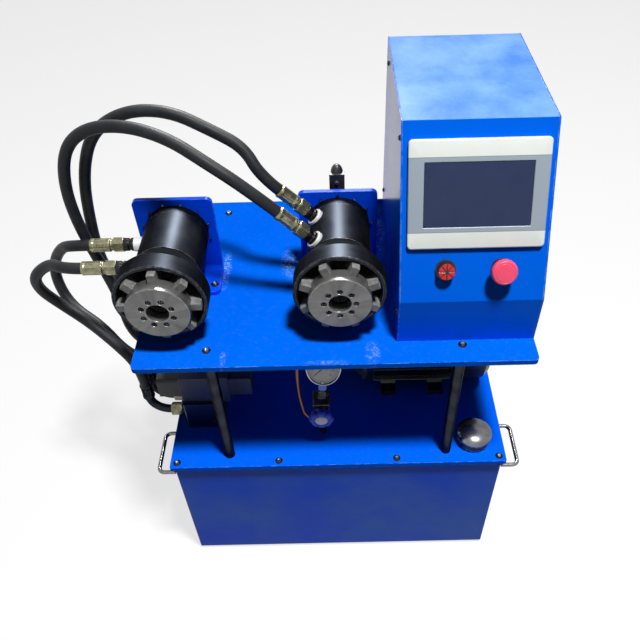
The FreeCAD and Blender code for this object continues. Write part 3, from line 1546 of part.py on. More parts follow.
cowl = new_body("fan_cowl")
cowl_inside = shield + size.assembly_clearance
cowl_outside = cowl_inside + size.cowl_sheet
cowl_back = size.motor_length - size.cowl_overlap
cowl_end = cowl_back + size.cowl_length
rounding = size.cowl_rounding
add_revolution(cowl, [(cowl_inside, cowl_back), (cowl_outside, cowl_back),
                      (cowl_outside, cowl_end - rounding), (cowl_outside - rounding, cowl_end),
                      (ZERO, cowl_end), (ZERO, cowl_end - size.cowl_sheet),
                      (cowl_inside - rounding + size.cowl_sheet / 2, cowl_end - size.cowl_sheet),
                      (cowl_inside, cowl_end - rounding - size.cowl_sheet / 2)])
sketch = new_sketch(cowl, "XY_Plane", (ZERO, ZERO, cowl_end))
draw_rectangle(sketch, size.grille_inner, cowl_inside - rounding * 1.6,
               -size.grille_slot / 2, size.grille_slot / 2)
slot = cut_pocket(cowl, sketch, size.cowl_sheet * 2)
slots = cowl.newObject("PartDesign::PolarPattern", "fan_cowl_slots")
slots.Originals = [slot]
slots.Axis = (sketch, ["N_Axis"])
slots.Angle = 360
slots.Occurrences = 10
cowl.Tip = slots
doc.recompute()
put_on_shaft(cowl)

pump = new_body("oil_pump", several=True)
bell_narrow = size.bell_small / 2
bell_back = -size.bell_length
wall = size.bell_wall
pump_radius = size.pump_diameter / 2
pump_edge = size.pump_bolt_chamfer
bell_wide = shield - size.bell_rim
add_revolution(pump, [(ZERO, bell_back - size.pump_length),
                      (pump_radius - pump_edge, bell_back - size.pump_length),
                      (pump_radius, bell_back - size.pump_length + pump_edge),
                      (pump_radius, bell_back), (bell_narrow, bell_back),
                      (bell_narrow, bell_back + wall), (bell_wide, -wall), (shield, -wall),
                      (shield, ZERO), (bell_wide - wall, ZERO), (bell_wide - wall, -wall),
                      (bell_narrow - wall, bell_back + wall), (ZERO, bell_back + wall)])
bell_hole = new_sketch(pump, "YZ_Plane")
draw_circle(bell_hole, size.bell_window, (ZERO, bell_back / 2))
cut_pocket(pump, bell_hole, 2 * shield, both_ways=True)
pump_middle = bell_back - size.pump_length / 2
suction_top = pump_radius - size.bell_rim
sketch = new_sketch(pump, "YZ_Plane", (ZERO, pump_middle, suction_top))
draw_circle(sketch, size.suction_diameter)
add_pad(pump, sketch, size.motor_axis_height - suction_top)
put_on_shaft(pump)


# Stroke sensor on an arm behind the right head

sensor = new_body("stroke_sensor")
arm_back = size.sensor_stand_off
sensor_half = size.sensor_width / 2
sketch = new_sketch(sensor, "XY_Plane", (ZERO, ZERO, size.sensor_bottom - size.sensor_arm))
draw_rectangle(sketch, -sensor_half, sensor_half, ZERO, arm_back + size.sensor_depth)
add_pad(sensor, sketch, size.sensor_arm)
sketch = new_sketch(sensor, "XY_Plane", (ZERO, ZERO, size.sensor_bottom))
draw_rectangle(sketch, -sensor_half, sensor_half, arm_back, arm_back + size.sensor_depth)
add_pad(sensor, sketch, size.sensor_height)
dome_base = size.sensor_bottom + size.sensor_height
add_revolution(sensor, [(ZERO, dome_base), (size.sensor_dome / 2, dome_base),
                        (size.sensor_dome / 2, dome_base + size.sensor_dome * 0.75),
                        (size.sensor_dome * 0.42, dome_base + size.sensor_dome * 1.05),
                        (size.sensor_dome * 0.25, dome_base + size.sensor_dome * 1.25),
                        (ZERO, dome_base + size.sensor_dome * 1.3)],
               (ZERO, ZERO, -(arm_back + size.sensor_depth / 2)))
place(sensor, right_head_place + size.sensor_offset, size.right_face_back + thick,
      size.head_axis_level)


# Hoses: straight runs joined by arcs, from each head port down to its valve port

HOSES = {
    "hose_left_upper": [
        (-407.8, -24.9, 714.8), (-452.2, -24.9, 714.8), (-495.8, -10.9, 691.6),
        (-512.6, 8.0, 646.9), (-497.2, 18.2, 598.7), (-459.5, 10.8, 564.1),
        (-415.0, -15.2, 552.5), (-378.3, -46.8, 528.3), (-358.0, -62.0, 486.9),
        (-358.0, -62.0, 441.0)],
    "hose_left_lower": [
        (-407.8, -83.9, 714.8), (-452.4, -83.9, 714.8), (-497.6, -71.2, 692.2),
        (-518.8, -54.4, 647.7), (-507.8, -44.2, 597.8), (-470.7, -46.8, 561.3),
        (-420.3, -62.2, 550.1), (-380.2, -85.6, 527.3), (-358.0, -98.0, 487.4),
        (-358.0, -98.0, 441.0)],
    "hose_right_upper": [
        (-92.2, -13.1, 818.0), (-130.9, -13.1, 856.7), (-178.6, 3.6, 906.4),
        (-237.0, 18.6, 931.3), (-300.7, 32.8, 927.7), (-352.9, 38.1, 890.5),
        (-386.7, 26.2, 823.0), (-396.6, 29.1, 746.9), (-398.2, 38.6, 665.9),
        (-395.0, 32.1, 588.2), (-370.2, 20.7, 523.1), (-358.0, 18.0, 479.9),
        (-358.0, 18.0, 441.0)],
    "hose_right_lower": [
        (-92.2, -72.1, 818.0), (-126.8, -72.1, 852.6), (-172.2, -55.3, 887.6),
        (-229.2, -22.4, 905.3), (-289.3, -10.6, 913.3), (-353.3, -7.3, 907.4),
        (-403.4, 2.9, 870.5), (-433.5, 10.4, 800.5), (-437.8, 11.8, 713.9),
        (-418.9, -9.4, 637.6), (-388.1, -13.1, 562.5), (-363.8, -16.6, 506.5),
        (-358.0, -24.0, 471.0), (-358.0, -24.0, 441.0)],
}

for name, nominal in HOSES.items():
    route = [Vector(*point) for point in nominal]
    start, way = hose_starts[name]
    end = hose_ends[name]
    first_run = (route[1] - route[0]).Length
    last_run = (route[-1] - route[-2]).Length
    start_shift = start - route[0]
    end_shift = end - route[-1]
    last = len(route) - 1
    route = [point + start_shift * (1 - number / last) + end_shift * (number / last)
             for number, point in enumerate(route)]
    route[0] = start
    route[1] = start + way * first_run
    route[-1] = end
    route[-2] = end + Vector(0, 0, last_run)
    bends = eased_bends(route)
    tube_shape, length = swept_route(route, bends, float(size.hose_diameter))
    expected = math.pi / 4 * float(size.hose_diameter) ** 2 * length
    print(name, "length %.0f" % length, "volume ratio %.4f" % (tube_shape.Volume / expected),
          "radii", " ".join("%.0f" % radius for radius in bends))
    add_feature(name, tube_shape)


# Checks, then one file for each piece

doc.recompute()
for item in doc.Objects:
    if "Invalid" in item.State or "Error" in item.State:
        raise RuntimeError("%s did not compute" % item.Label)
for item in nodes:
    if item.Shape.isNull() or not item.Shape.isValid():
        raise RuntimeError("%s has no valid shape" % item.Label)

os.makedirs("parts", exist_ok=True)
total = 0
for item in nodes:
    item.Shape.exportStep(os.path.join("parts", item.Label + ".step"))
    total += 1
print(total, "pieces written")
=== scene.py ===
import math

import bmesh
import bpy
import numpy as np
from mathutils import Matrix, Vector


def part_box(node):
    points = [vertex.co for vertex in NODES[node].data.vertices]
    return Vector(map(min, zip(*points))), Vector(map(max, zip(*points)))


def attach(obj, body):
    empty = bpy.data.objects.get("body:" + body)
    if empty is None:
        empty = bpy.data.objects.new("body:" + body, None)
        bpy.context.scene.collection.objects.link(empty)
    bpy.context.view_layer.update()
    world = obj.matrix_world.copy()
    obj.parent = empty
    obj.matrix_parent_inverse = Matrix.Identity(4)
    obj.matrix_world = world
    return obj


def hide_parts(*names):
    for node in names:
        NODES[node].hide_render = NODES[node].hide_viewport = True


bl_info = {
    "name": "Twin-head pipe crimping machine",
    "version": (1, 0, 0),
    "blender": (4, 5, 0),
    "location": "3D View > Sidebar > Crimping machine",
    "description": "Hoses, fittings, panel, gauge and finishes of a pipe crimping machine",
    "category": "Object",
}

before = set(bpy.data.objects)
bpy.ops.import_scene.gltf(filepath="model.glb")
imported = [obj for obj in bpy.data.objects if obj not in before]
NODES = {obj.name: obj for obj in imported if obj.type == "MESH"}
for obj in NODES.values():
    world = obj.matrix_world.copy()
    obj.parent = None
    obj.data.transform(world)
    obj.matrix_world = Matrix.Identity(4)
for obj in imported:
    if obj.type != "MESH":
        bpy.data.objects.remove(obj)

# Places in metres: +Z up, +X to the operator's right, the front faces -Y.
PLATE_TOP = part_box("tank_top_plate")[1].z
DECK_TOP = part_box("deck_plate")[1].z
BOX_LOW, BOX_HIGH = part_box("control_box")
AXIS_LEVEL = 0.7148
HEADS = {
    "left": {"x": -0.2618, "face": 0.0081, "spin": 0.0, "port": 180.0, "union": 0.0665,
             "boss": 0.0122, "studs": 15.0},
    "right": {"x": 0.0110, "face": 0.0199, "spin": 22.5, "port": 135.0, "union": 0.0565,
              "boss": 0.0143, "studs": 0.0},
}
PORTS_FORWARD = (0.033, 0.092)
SLANT = math.atan2(0.107, 0.244)
SLANT_FOOT = Vector((0.0, -0.1733, 0.707))
PORT_LEVEL = 0.365
ELBOW_FOOT_X = -0.358
VALVE_LEFT = -0.291
DISC_FRONT = 0.1933
UNION_LENGTH = 0.0165
OPERATOR_UP = 0.0515
GAUGE_X, GAUGE_LEVEL = -0.028, 0.415
FLOOR_GLOW, BACKDROP = 0.74, 0.955

HOSE_ROUTES = {
    "hose_left_upper": {
        "head": "left", "forward": 0.033, "row": -0.062, "points": [
            (-0.4018, -0.0249, 0.7148), (-0.4315, -0.0249, 0.7148), (-0.4662, 0.0030, 0.6903),
            (-0.4997, 0.0207, 0.6413), (-0.5067, 0.0193, 0.5917), (-0.4841, -0.0029, 0.5538),
            (-0.4281, -0.0389, 0.5408), (-0.3871, -0.0707, 0.5058), (-0.3580, -0.0620, 0.4670),
            (-0.3580, -0.0620, 0.4410)]},
    "hose_left_lower": {
        "head": "left", "forward": 0.092, "row": -0.098, "points": [
            (-0.4018, -0.0839, 0.7148), (-0.4308, -0.0839, 0.7148), (-0.4645, -0.0573, 0.7054),
            (-0.5047, -0.0497, 0.6717), (-0.5115, -0.0371, 0.6289), (-0.4872, -0.0332, 0.5895),
            (-0.4393, -0.0544, 0.5642), (-0.3912, -0.0840, 0.5363), (-0.3580, -0.0980, 0.4927),
            (-0.3580, -0.0980, 0.4410)]},
    "hose_right_upper": {
        "head": "right", "forward": 0.033, "row": 0.018, "points": [
            (-0.0813, -0.0131, 0.8071), (-0.1088, -0.0131, 0.8346), (-0.1315, 0.0088, 0.8710),
            (-0.1791, 0.0206, 0.8942), (-0.2411, 0.0348, 0.9208), (-0.3095, 0.0389, 0.9207),
            (-0.3689, 0.0367, 0.8872), (-0.4005, 0.0316, 0.8141), (-0.4124, 0.0270, 0.7255),
            (-0.4141, 0.0191, 0.6404), (-0.3878, 0.0174, 0.5657), (-0.3580, 0.0180, 0.4999),
            (-0.3580, 0.0180, 0.4410)]},
    "hose_right_lower": {
        "head": "right", "forward": 0.092, "row": -0.024, "points": [
            (-0.0813, -0.0721, 0.8071), (-0.1287, -0.0721, 0.8545), (-0.1787, -0.0565, 0.8852),
            (-0.2339, -0.0314, 0.9121), (-0.2973, -0.0125, 0.9244), (-0.3594, -0.0004, 0.9154),
            (-0.4050, 0.0076, 0.8787), (-0.4258, 0.0075, 0.8111), (-0.4238, 0.0039, 0.7335),
            (-0.4053, -0.0027, 0.6550), (-0.3879, -0.0130, 0.5811), (-0.3828, -0.0268, 0.5170),
            (-0.3580, -0.0240, 0.4705), (-0.3580, -0.0240, 0.4410)]},
}


# Surfaces worked out on grids

def circle(count):
    """Angles once round, the last equal to the first."""
    return np.linspace(0.0, 2.0 * np.pi, count + 1)


def off_ridge(angles):
    """How far an angle lies from the nearest of eight ridges."""
    return (angles + np.pi / 8) % (np.pi / 4) - np.pi / 8


def around_axis(radius, angles, height):
    """Points (r cos a, r sin a, z) round the axis Z."""
    return np.stack([radius * np.cos(angles), radius * np.sin(angles),
                     height + np.zeros_like(angles)], axis=-1)


def closed_rings(radius, angles, height):
    """Rings round Z that close to a point on the axis at their first and last height."""
    axis = np.zeros((1, len(angles)))
    height = np.concatenate([height[:1], height, height[-1:]])
    return around_axis(np.vstack([axis, radius, axis]), angles, height[:, None])


def flats_reach(angles, sides):
    """How far a regular polygon reaches at each angle when its flats lie at 1:
    one over the cosine of the angle from the nearest flat's middle."""
    step = 2.0 * np.pi / sides
    return 1.0 / np.cos((angles + step / 2.0) % step - step / 2.0)


def eased(profile, radius, steps=4):
    """A profile of (radius, height) corners, each inner corner replaced by a quadratic arc
    that starts and ends `radius` from it, or at 45% of a side shorter than that allows."""
    corners = np.asarray(profile, float)
    before = corners[:-2] - corners[1:-1]
    after = corners[2:] - corners[1:-1]
    long_before = np.linalg.norm(before, axis=1, keepdims=True)
    long_after = np.linalg.norm(after, axis=1, keepdims=True)
    start = corners[1:-1] + before / long_before * np.minimum(radius, long_before * 0.45)
    end = corners[1:-1] + after / long_after * np.minimum(radius, long_after * 0.45)
    t = np.linspace(0.0, 1.0, steps + 1)[None, :, None]
    arcs = ((1 - t) ** 2 * start[:, None] + 2 * t * (1 - t) * corners[1:-1, None]
            + t ** 2 * end[:, None])
    return np.vstack([corners[:1], arcs.reshape(-1, 2), corners[-1:]])


def turned(profile, count=64, shape=None, share=None):
    """Surface of revolution about Z: (r cos a, r sin a, z) for each (r, z) of the profile.
    Where share is 1 the radius follows shape(a), such as a hexagon, and where it is 0 a circle."""
    profile = np.asarray(profile, float)
    angles = circle(count)
    radius = np.repeat(profile[:, :1], count + 1, axis=1)
    if shape is not None:
        radius = radius * (1.0 + share[:, None] * (shape(angles)[None, :] - 1.0))
    return around_axis(radius, angles, profile[:, 1:])


def hexagon_nut(flats, length):
    """Hexagon nut: at every height the smaller of the hexagon's reach and a 30 degree cone."""
    steep, corner = 1.732, 1.1547
    seat = flats * 0.48
    rise = (flats / 2.0 * corner - seat) / steep
    height = np.concatenate([np.linspace(0, rise, 4), np.linspace(length - rise, length, 4)])
    cone = seat + steep * np.minimum(height, length - height)
    angles = circle(72)
    radius = np.minimum(cone[:, None], flats / 2.0 * flats_reach(angles, 6)[None, :])
    return closed_rings(radius, angles, height)


def pressed_sleeve(radius, length):
    """Crimped hose sleeve: a circle pressed in between eight ridges. The press fades in and out
    along the sleeve by a smooth step, and a collar stays round at each end."""
    step, dent = 0.002, 0.0011
    height = np.linspace(0.0, length, 40)
    plain = np.interp(height, [0, step * 2, step * 3, length - step, length],
                      [radius - step, radius - step, radius, radius, radius - step])
    first, last, fade = 0.009, 0.005, 0.003
    inward = np.clip(np.minimum(height - first, length - last - height) / fade, 0.0, 1.0)
    press = inward ** 2 * (3 - 2 * inward)
    angles = circle(96)
    ridge = np.exp(-(off_ridge(angles) / 0.09) ** 2)
    around = plain[:, None] - dent * press[:, None] * (1.0 - ridge[None, :])
    return closed_rings(around, angles, height)


def tube_along(line, radius):
    """A circle carried along a line of points: each ring stands across the line's direction,
    and its first axis is the last ring's, less its part along the new direction."""
    way = np.gradient(line, axis=0)
    way /= np.linalg.norm(way, axis=1, keepdims=True)
    first = np.cross(way[0], [0.0, 0.0, 1.0])
    sides = np.empty_like(line)
    for row in range(len(line)):
        first = first - way[row] * first.dot(way[row])
        first = first / np.linalg.norm(first)
        sides[row] = first
    other = np.cross(way, sides)
    angles = circle(24)[None, :, None]
    rings = line[:, None] + radius * (sides[:, None] * np.cos(angles)
                                      + other[:, None] * np.sin(angles))
    start = np.repeat(line[:1, None], angles.size, axis=1)
    end = np.repeat(line[-1:, None], angles.size, axis=1)
    return np.concatenate([start, rings, end])


def rounded_outline(half_wide, half_high, corner, steps):
    """A rectangle's outline with quarter circles at its corners, once round and closed."""
    quarter = np.linspace(0.0, np.pi / 2, steps + 1)
    parts = []
    for turn, (across, up) in enumerate(((1, 1), (-1, 1), (-1, -1), (1, -1))):
        angle = quarter + turn * np.pi / 2
        parts.append(np.stack([across * (half_wide - corner) + corner * np.cos(angle),
                               up * (half_high - corner) + corner * np.sin(angle)], axis=-1))
    line = np.concatenate(parts)
    return np.concatenate([line, line[:1]])


def framed_plate(rows, steps):
    """Plate or frame whose outline changes with height: each row gives half width, half height,
    corner radius and height, and all rows have the same number of points."""
    return np.stack([np.column_stack([rounded_outline(wide, high, corner, steps),
                                      np.full(4 * (steps + 1) + 1, level)])
                     for wide, high, corner, level in rows])


def tip(level):
    """A row so small that it closes a plate at a height."""
    return 1e-5, 1e-5, 5e-6, level


def standing(origin, direction, spin=0.0):
    """A place whose Z runs along a direction, turned about it by spin radians."""
    turn = Vector(direction).to_track_quat("Z", "Y").to_matrix().to_4x4()
    return Matrix.Translation(origin) @ turn @ Matrix.Rotation(spin, 4, "Z")


def on_slant(across, up):
    """A place on the slanted front: X across, Y up the slope, Z out of it."""
    turn = Matrix.Rotation(math.pi / 2 - SLANT, 4, "X")
    return Matrix.Translation(SLANT_FOOT + Vector((across, 0, 0))) @ turn @ Matrix.Translation(
        (0.0, up, 0.0))


def on_head(side, across=0.0, up=0.0, forward=0.0):
    """A place on a head: X across, Y up, Z forward along the bore."""
    head = HEADS[side]
    spot = Vector((head["x"] + across, head["face"] - forward, AXIS_LEVEL + up))
    return Matrix.Translation(spot) @ Matrix.Rotation(math.pi / 2, 4, "X")


def beside_bore(side, reach, degrees, forward=0.0):
    """A place on a head, so far from the bore's axis and at an angle from X."""
    angle = math.radians(degrees)
    return on_head(side, reach * math.cos(angle), reach * math.sin(angle), forward)


def port_axis(head, forward):
    """The point on a head's axis behind a port, and the port's direction."""
    angle = math.radians(head["port"])
    return (Vector((head["x"], head["face"] - forward, AXIS_LEVEL)),
            Vector((math.cos(angle), 0.0, math.sin(angle))))


def put(name, data):
    """An object in the scene."""
    made = bpy.data.objects.new(name, data)
    bpy.context.scene.collection.objects.link(made)
    return made


def face_places(piece, place):
    """Height, distance from the axis and angle of every face's middle, seen from a place."""
    faces = piece.data.polygons
    centres = np.empty(len(faces) * 3)
    faces.foreach_get("center", centres)
    turn = np.array(place.inverted())
    across, up, out = (centres.reshape(-1, 3) @ turn[:3, :3].T + turn[:3, 3]).T
    return out, np.hypot(across, up), np.arctan2(up, across)


class Skin:
    """Gathers grids of points into one mesh, with a finish number for each grid."""

    def __init__(self):
        self.points, self.quads, self.finish, self.total = [], [], [], 0

    def add(self, grid, place=None, finish=0):
        rows, columns = grid.shape[:2]
        flat = grid.reshape(-1, 3)
        if place is not None:
            turn = np.array(place)
            flat = flat @ turn[:3, :3].T + turn[:3, 3]
        index = np.arange(rows * columns).reshape(rows, columns) + self.total
        quads = np.stack([index[:-1, :-1], index[:-1, 1:], index[1:, 1:], index[1:, :-1]], axis=-1)
        self.points.append(flat)
        self.quads.append(quads.reshape(-1, 4))
        self.finish.append(np.full(quads.size // 4, finish, np.int32))
        self.total += len(flat)
        return self

    def piece(self, name, materials, body, slot, replaced=(), sharp=32.0):
        """Makes the object: seams and poles are merged and every face is turned outward."""
        mesh = bpy.data.meshes.new(name)
        mesh.from_pydata(np.concatenate(self.points).tolist(), [],
                         np.concatenate(self.quads).tolist())
        mesh.polygons.foreach_set("material_index", np.concatenate(self.finish))
        for material in materials:
            mesh.materials.append(material)
        work = bmesh.new()
        work.from_mesh(mesh)
        bmesh.ops.remove_doubles(work, verts=work.verts, dist=2e-6)
        bmesh.ops.dissolve_degenerate(work, edges=work.edges, dist=1e-7)
        bmesh.ops.recalc_face_normals(work, faces=work.faces)
        work.to_mesh(mesh)
        work.free()
        mesh.shade_smooth()
        mesh.set_sharp_from_angle(angle=math.radians(sharp))
        piece = put(name, mesh)
        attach(piece, body)
        if replaced:
            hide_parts(*replaced)
        return piece


# Shader node groups and materials

def grey(level):
    return level, level, level, 1.0


def feed(tree, socket, value):
    """Sets a socket to a value, or links it to another node's socket."""
    if isinstance(value, bpy.types.NodeSocket):
        tree.links.new(value, socket)
    else:
        socket.default_value = value


def connect(tree, sockets, **values):
    """Feeds sockets by name, where an underscore stands for a space."""
    for name, value in values.items():
        feed(tree, sockets[name.replace("_", " ")], value)
    return tree


def node(tree, kind, inputs=None, **settings):
    """A shader node with its inputs set to values or linked to other nodes' sockets."""
    made = tree.nodes.new(kind)
    for key, value in settings.items():
        setattr(made, key, value)
    for key, value in (inputs or {}).items():
        feed(tree, made.inputs[key], value)
    return made


def effect(name, inputs, outputs):
    """An empty node group that takes a vector, and colours and numbers with their defaults."""
    tree = bpy.data.node_groups.new(name, "ShaderNodeTree")
    socket = tree.interface.new_socket
    socket("Vector", in_out="INPUT", socket_type="NodeSocketVector")
    for label, value in inputs.items():
        kind = "Color" if isinstance(value, tuple) else "Float"
        socket(label, in_out="INPUT", socket_type="NodeSocket" + kind).default_value = value
    for label, kind in outputs.items():
        socket(label, in_out="OUTPUT", socket_type="NodeSocket" + kind)
    return tree, tree.nodes.new("NodeGroupInput").outputs, tree.nodes.new("NodeGroupOutput").inputs


def math_node(tree, operation, a, b=None, clamp=False):
    values = {0: a} if b is None else {0: a, 1: b}
    return node(tree, "ShaderNodeMath", values, operation=operation, use_clamp=clamp).outputs[0]


def times(tree, a, b):
    return math_node(tree, "MULTIPLY", a, b)


def parts(tree, vector):
    """A vector's three parts."""
    return node(tree, "ShaderNodeSeparateXYZ", {0: vector}).outputs


def facing(tree):
    """The three parts of the surface's direction, smoothed as it is shaded."""
    return parts(tree, node(tree, "ShaderNodeNewGeometry").outputs["Normal"])


def far_from(tree, vector):
    """A vector's length."""
    return node(tree, "ShaderNodeVectorMath", {0: vector}, operation="LENGTH").outputs["Value"]


def noise(tree, vector, scale, detail=3.0, rough=0.5):
    return node(tree, "ShaderNodeTexNoise", {"Vector": vector, "Scale": scale, "Detail": detail,
                                             "Roughness": rough}).outputs[0]


def spread(tree, value, low, high, to_low=0.0, to_high=1.0):
    """A value stretched between two limits and clamped there."""
    return node(tree, "ShaderNodeMapRange", {0: value, 1: low, 2: high, 3: to_low, 4: to_high},
                clamp=True).outputs[0]


def blend_color(tree, share, one, two):
    return node(tree, "ShaderNodeMix", {0: share, 6: one, 7: two}, data_type="RGBA",
                clamp_factor=True).outputs[2]


def edge_wear_effect():
    """Rounded look on sharp edges and a broken mask where paint or oxide rubs off them."""
    tree, given, wanted = effect("Edge wear", {"Radius": 0.001, "Breakup": 90.0, "Amount": 0.5},
                                 {"Mask": "Float", "Normal": "Vector"})
    soft = node(tree, "ShaderNodeBevel", {"Radius": given["Radius"]}, samples=6).outputs[0]
    flat = node(tree, "ShaderNodeNewGeometry").outputs["Normal"]
    dot = node(tree, "ShaderNodeVectorMath", {0: soft, 1: flat},
               operation="DOT_PRODUCT").outputs["Value"]
    patchy = spread(tree, noise(tree, given["Vector"], given["Breakup"], 4.0, 0.6), 0.42, 0.62)
    rubbed = times(tree, spread(tree, dot, 0.995, 0.90), patchy)
    mask = math_node(tree, "MULTIPLY", rubbed, given["Amount"], clamp=True)
    return connect(tree, wanted, Mask=mask, Normal=soft)


def paint_effect():
    """Sprayed enamel: orange peel in the height, cloudy tone, dust on top faces, a painted
    reflection of a pale sky on top faces, and short scuffs."""
    tree, given, wanted = effect(
        "Sprayed enamel", {"Color": (0.0, 0.1, 0.8, 1.0), "Shade": (0.0, 0.05, 0.5, 1.0),
                           "Cloud": 0.4, "Dust": 0.1, "Scuffs": 0.2, "Gloss": 0.2, "Haze": 0.0},
        {"Color": "Color", "Roughness": "Float", "Height": "Float"})
    vector = given["Vector"]
    cloud = spread(tree, noise(tree, vector, 5.0, 4.0, 0.55), 0.35, 0.7)
    tone = blend_color(tree, times(tree, cloud, given["Cloud"]), given["Color"], given["Shade"])
    up = facing(tree)["Z"]
    settle = times(tree, spread(tree, up, 0.2, 1.0),
                   spread(tree, noise(tree, vector, 160.0, 5.0, 0.7), 0.52, 0.75))
    dust = times(tree, settle, given["Dust"])
    # Painted reflection: a mottled pale sky blue laid on faces that look up, standing in for the
    # sky seen in the gloss.
    painted_sky = spread(tree, noise(tree, vector, 13.0, 7.0, 0.62), 0.30, 0.66, 0.35, 1.0)
    painted_sky = times(tree, times(tree, painted_sky, given["Haze"]), spread(tree, up, 0.55, 0.95))
    with_painted_sky = blend_color(tree, painted_sky, tone, (0.42, 0.72, 1.0, 1.0))
    dusty = blend_color(tree, dust, with_painted_sky, (0.42, 0.46, 0.52, 1.0))
    stretched = node(tree, "ShaderNodeMapping", {"Vector": vector, "Rotation": (0.3, 0.5, 0.4),
                                                 "Scale": (14.0, 90.0, 40.0)}).outputs[0]
    scratch = spread(tree, noise(tree, stretched, 3.0, 6.0, 0.75), 0.66, 0.72)
    sparse = spread(tree, noise(tree, vector, 9.0, 2.0, 0.5), 0.55, 0.7)
    scuff = times(tree, times(tree, scratch, sparse), given["Scuffs"])
    marked = blend_color(tree, scuff, dusty, (0.35, 0.45, 0.62, 1.0))
    rough = math_node(tree, "ADD", given["Gloss"],
                      times(tree, math_node(tree, "ADD", dust, scuff), 0.5))
    rough = math_node(tree, "ADD", rough, times(tree, cloud, 0.05))
    return connect(tree, wanted, Color=marked, Roughness=rough,
                   Height=noise(tree, vector, 260.0, 1.0, 0.4))


def turning_effect():
    """Tool marks of turned and ground steel: fine rings round the axis Y of the given vector,
    sectors that sweep round it, and the share of a face that runs along the axis."""
    tree, given, wanted = effect(
        "Turning marks", {"Pitch": 900.0, "Patch": 40.0},
        {"Tone": "Float", "Sweep": "Float", "Wall": "Float", "Height": "Float"})
    split = parts(tree, given["Vector"])
    far = math_node(tree, "SQRT", math_node(tree, "ADD", times(tree, split["X"], split["X"]),
                                            times(tree, split["Z"], split["Z"])))
    line = node(tree, "ShaderNodeCombineXYZ", {0: far, 1: split["Y"]}).outputs[0]
    rings = noise(tree, line, given["Pitch"], 3.0, 0.6)
    broad = noise(tree, given["Vector"], given["Patch"], 4.0, 0.6)
    way = node(tree, "ShaderNodeCombineXYZ", {
        0: math_node(tree, "DIVIDE", split["X"], far), 1: times(tree, far, 4.0),
        2: math_node(tree, "DIVIDE", split["Z"], far)}).outputs[0]
    sweep = spread(tree, noise(tree, way, 2.6, 5.0, 0.55), 0.34, 0.66)
    tone = math_node(tree, "ADD", times(tree, rings, 0.6), times(tree, broad, 0.4))
    wall = spread(tree, math_node(tree, "ABSOLUTE", facing(tree)["Y"]), 0.75, 0.45)
    return connect(tree, wanted, Tone=tone, Sweep=sweep, Wall=wall, Height=rings)


def grime_effect():
    """Fine grain and larger stains, for castings, rubber and plastic."""
    tree, given, wanted = effect("Grain and stains", {"Grain": 700.0, "Stain": 30.0},
                                 {"Stains": "Float", "Height": "Float"})
    stain = spread(tree, noise(tree, given["Vector"], given["Stain"], 5.0, 0.65), 0.35, 0.7)
    return connect(tree, wanted, Stains=stain,
                   Height=noise(tree, given["Vector"], given["Grain"], 2.0, 0.6))


EFFECTS = {}
FINISHES = {}


def build_effects():
    """The shared effects, each built once."""
    EFFECTS.update(wear=edge_wear_effect(), paint=paint_effect(), turning=turning_effect(),
                   grime=grime_effect())


def placed_vector(tree, centre=None):
    """Object coordinates, moved so that a piece's own centre is their zero."""
    own = node(tree, "ShaderNodeTexCoord").outputs["Object"]
    if centre is None:
        return own
    return node(tree, "ShaderNodeMapping",
                {"Vector": own, "Location": tuple(-value for value in centre)}).outputs[0]


def use(tree, name, vector, **values):
    """One of the shared effects with its own values."""
    group = node(tree, "ShaderNodeGroup", node_tree=EFFECTS[name])
    connect(tree, group.inputs, Vector=vector, **values)
    return group.outputs


def new_material(name, centre=None, **sockets):
    """A material's tree, its Principled shader's inputs with uniform values set, its vector."""
    material = bpy.data.materials.new(name)
    material.use_nodes = True
    tree = material.node_tree
    tree.nodes.clear()
    shader = tree.nodes.new("ShaderNodeBsdfPrincipled")
    out = tree.nodes.new("ShaderNodeOutputMaterial")
    tree.links.new(shader.outputs[0], out.inputs[0])
    connect(tree, shader.inputs, **sockets)
    FINISHES[name] = material
    return material, tree, shader.inputs, placed_vector(tree, centre)


def finished(material):
    """A material's tree, its Principled shader's inputs, its present tone and its vector."""
    tree = material.node_tree
    inputs = tree.nodes["Principled BSDF"].inputs
    return tree, inputs, inputs["Base Color"].links[0].from_socket, placed_vector(tree)


def raise_surface(tree, inputs, height, distance, normal=None):
    values = {"Height": height, "Distance": distance, "Strength": 1.0}
    if normal is not None:
        values["Normal"] = normal
    connect(tree, inputs, Normal=node(tree, "ShaderNodeBump", values).outputs[0])


def painted(name, color, shade, cloud, dust, scuffs, gloss, bare, wear, level, sky_reflection=0.0,
            radius=0.0012):
    """Blue enamel on sheet steel, with paler edges that are partly rubbed paint and partly painted
    highlight, and on top faces an optional painted reflection of a pale sky.
    """
    material, tree, inputs, vector = new_material(name, Specular_IOR_Level=level)
    coat = use(tree, "paint", vector, Color=color, Shade=shade, Cloud=cloud, Dust=dust,
               Scuffs=scuffs, Gloss=gloss, Haze=sky_reflection)
    edge = use(tree, "wear", vector, Radius=radius, Breakup=70.0, Amount=wear)
    # Edges take the bare colour; where that is the pale blue, it is partly rubbed paint and partly
    # a painted highlight.
    connect(tree, inputs, Base_Color=blend_color(tree, edge["Mask"], coat["Color"], bare),
            Roughness=coat["Roughness"])
    raise_surface(tree, inputs, coat["Height"], 0.00006, edge["Normal"])
    return material


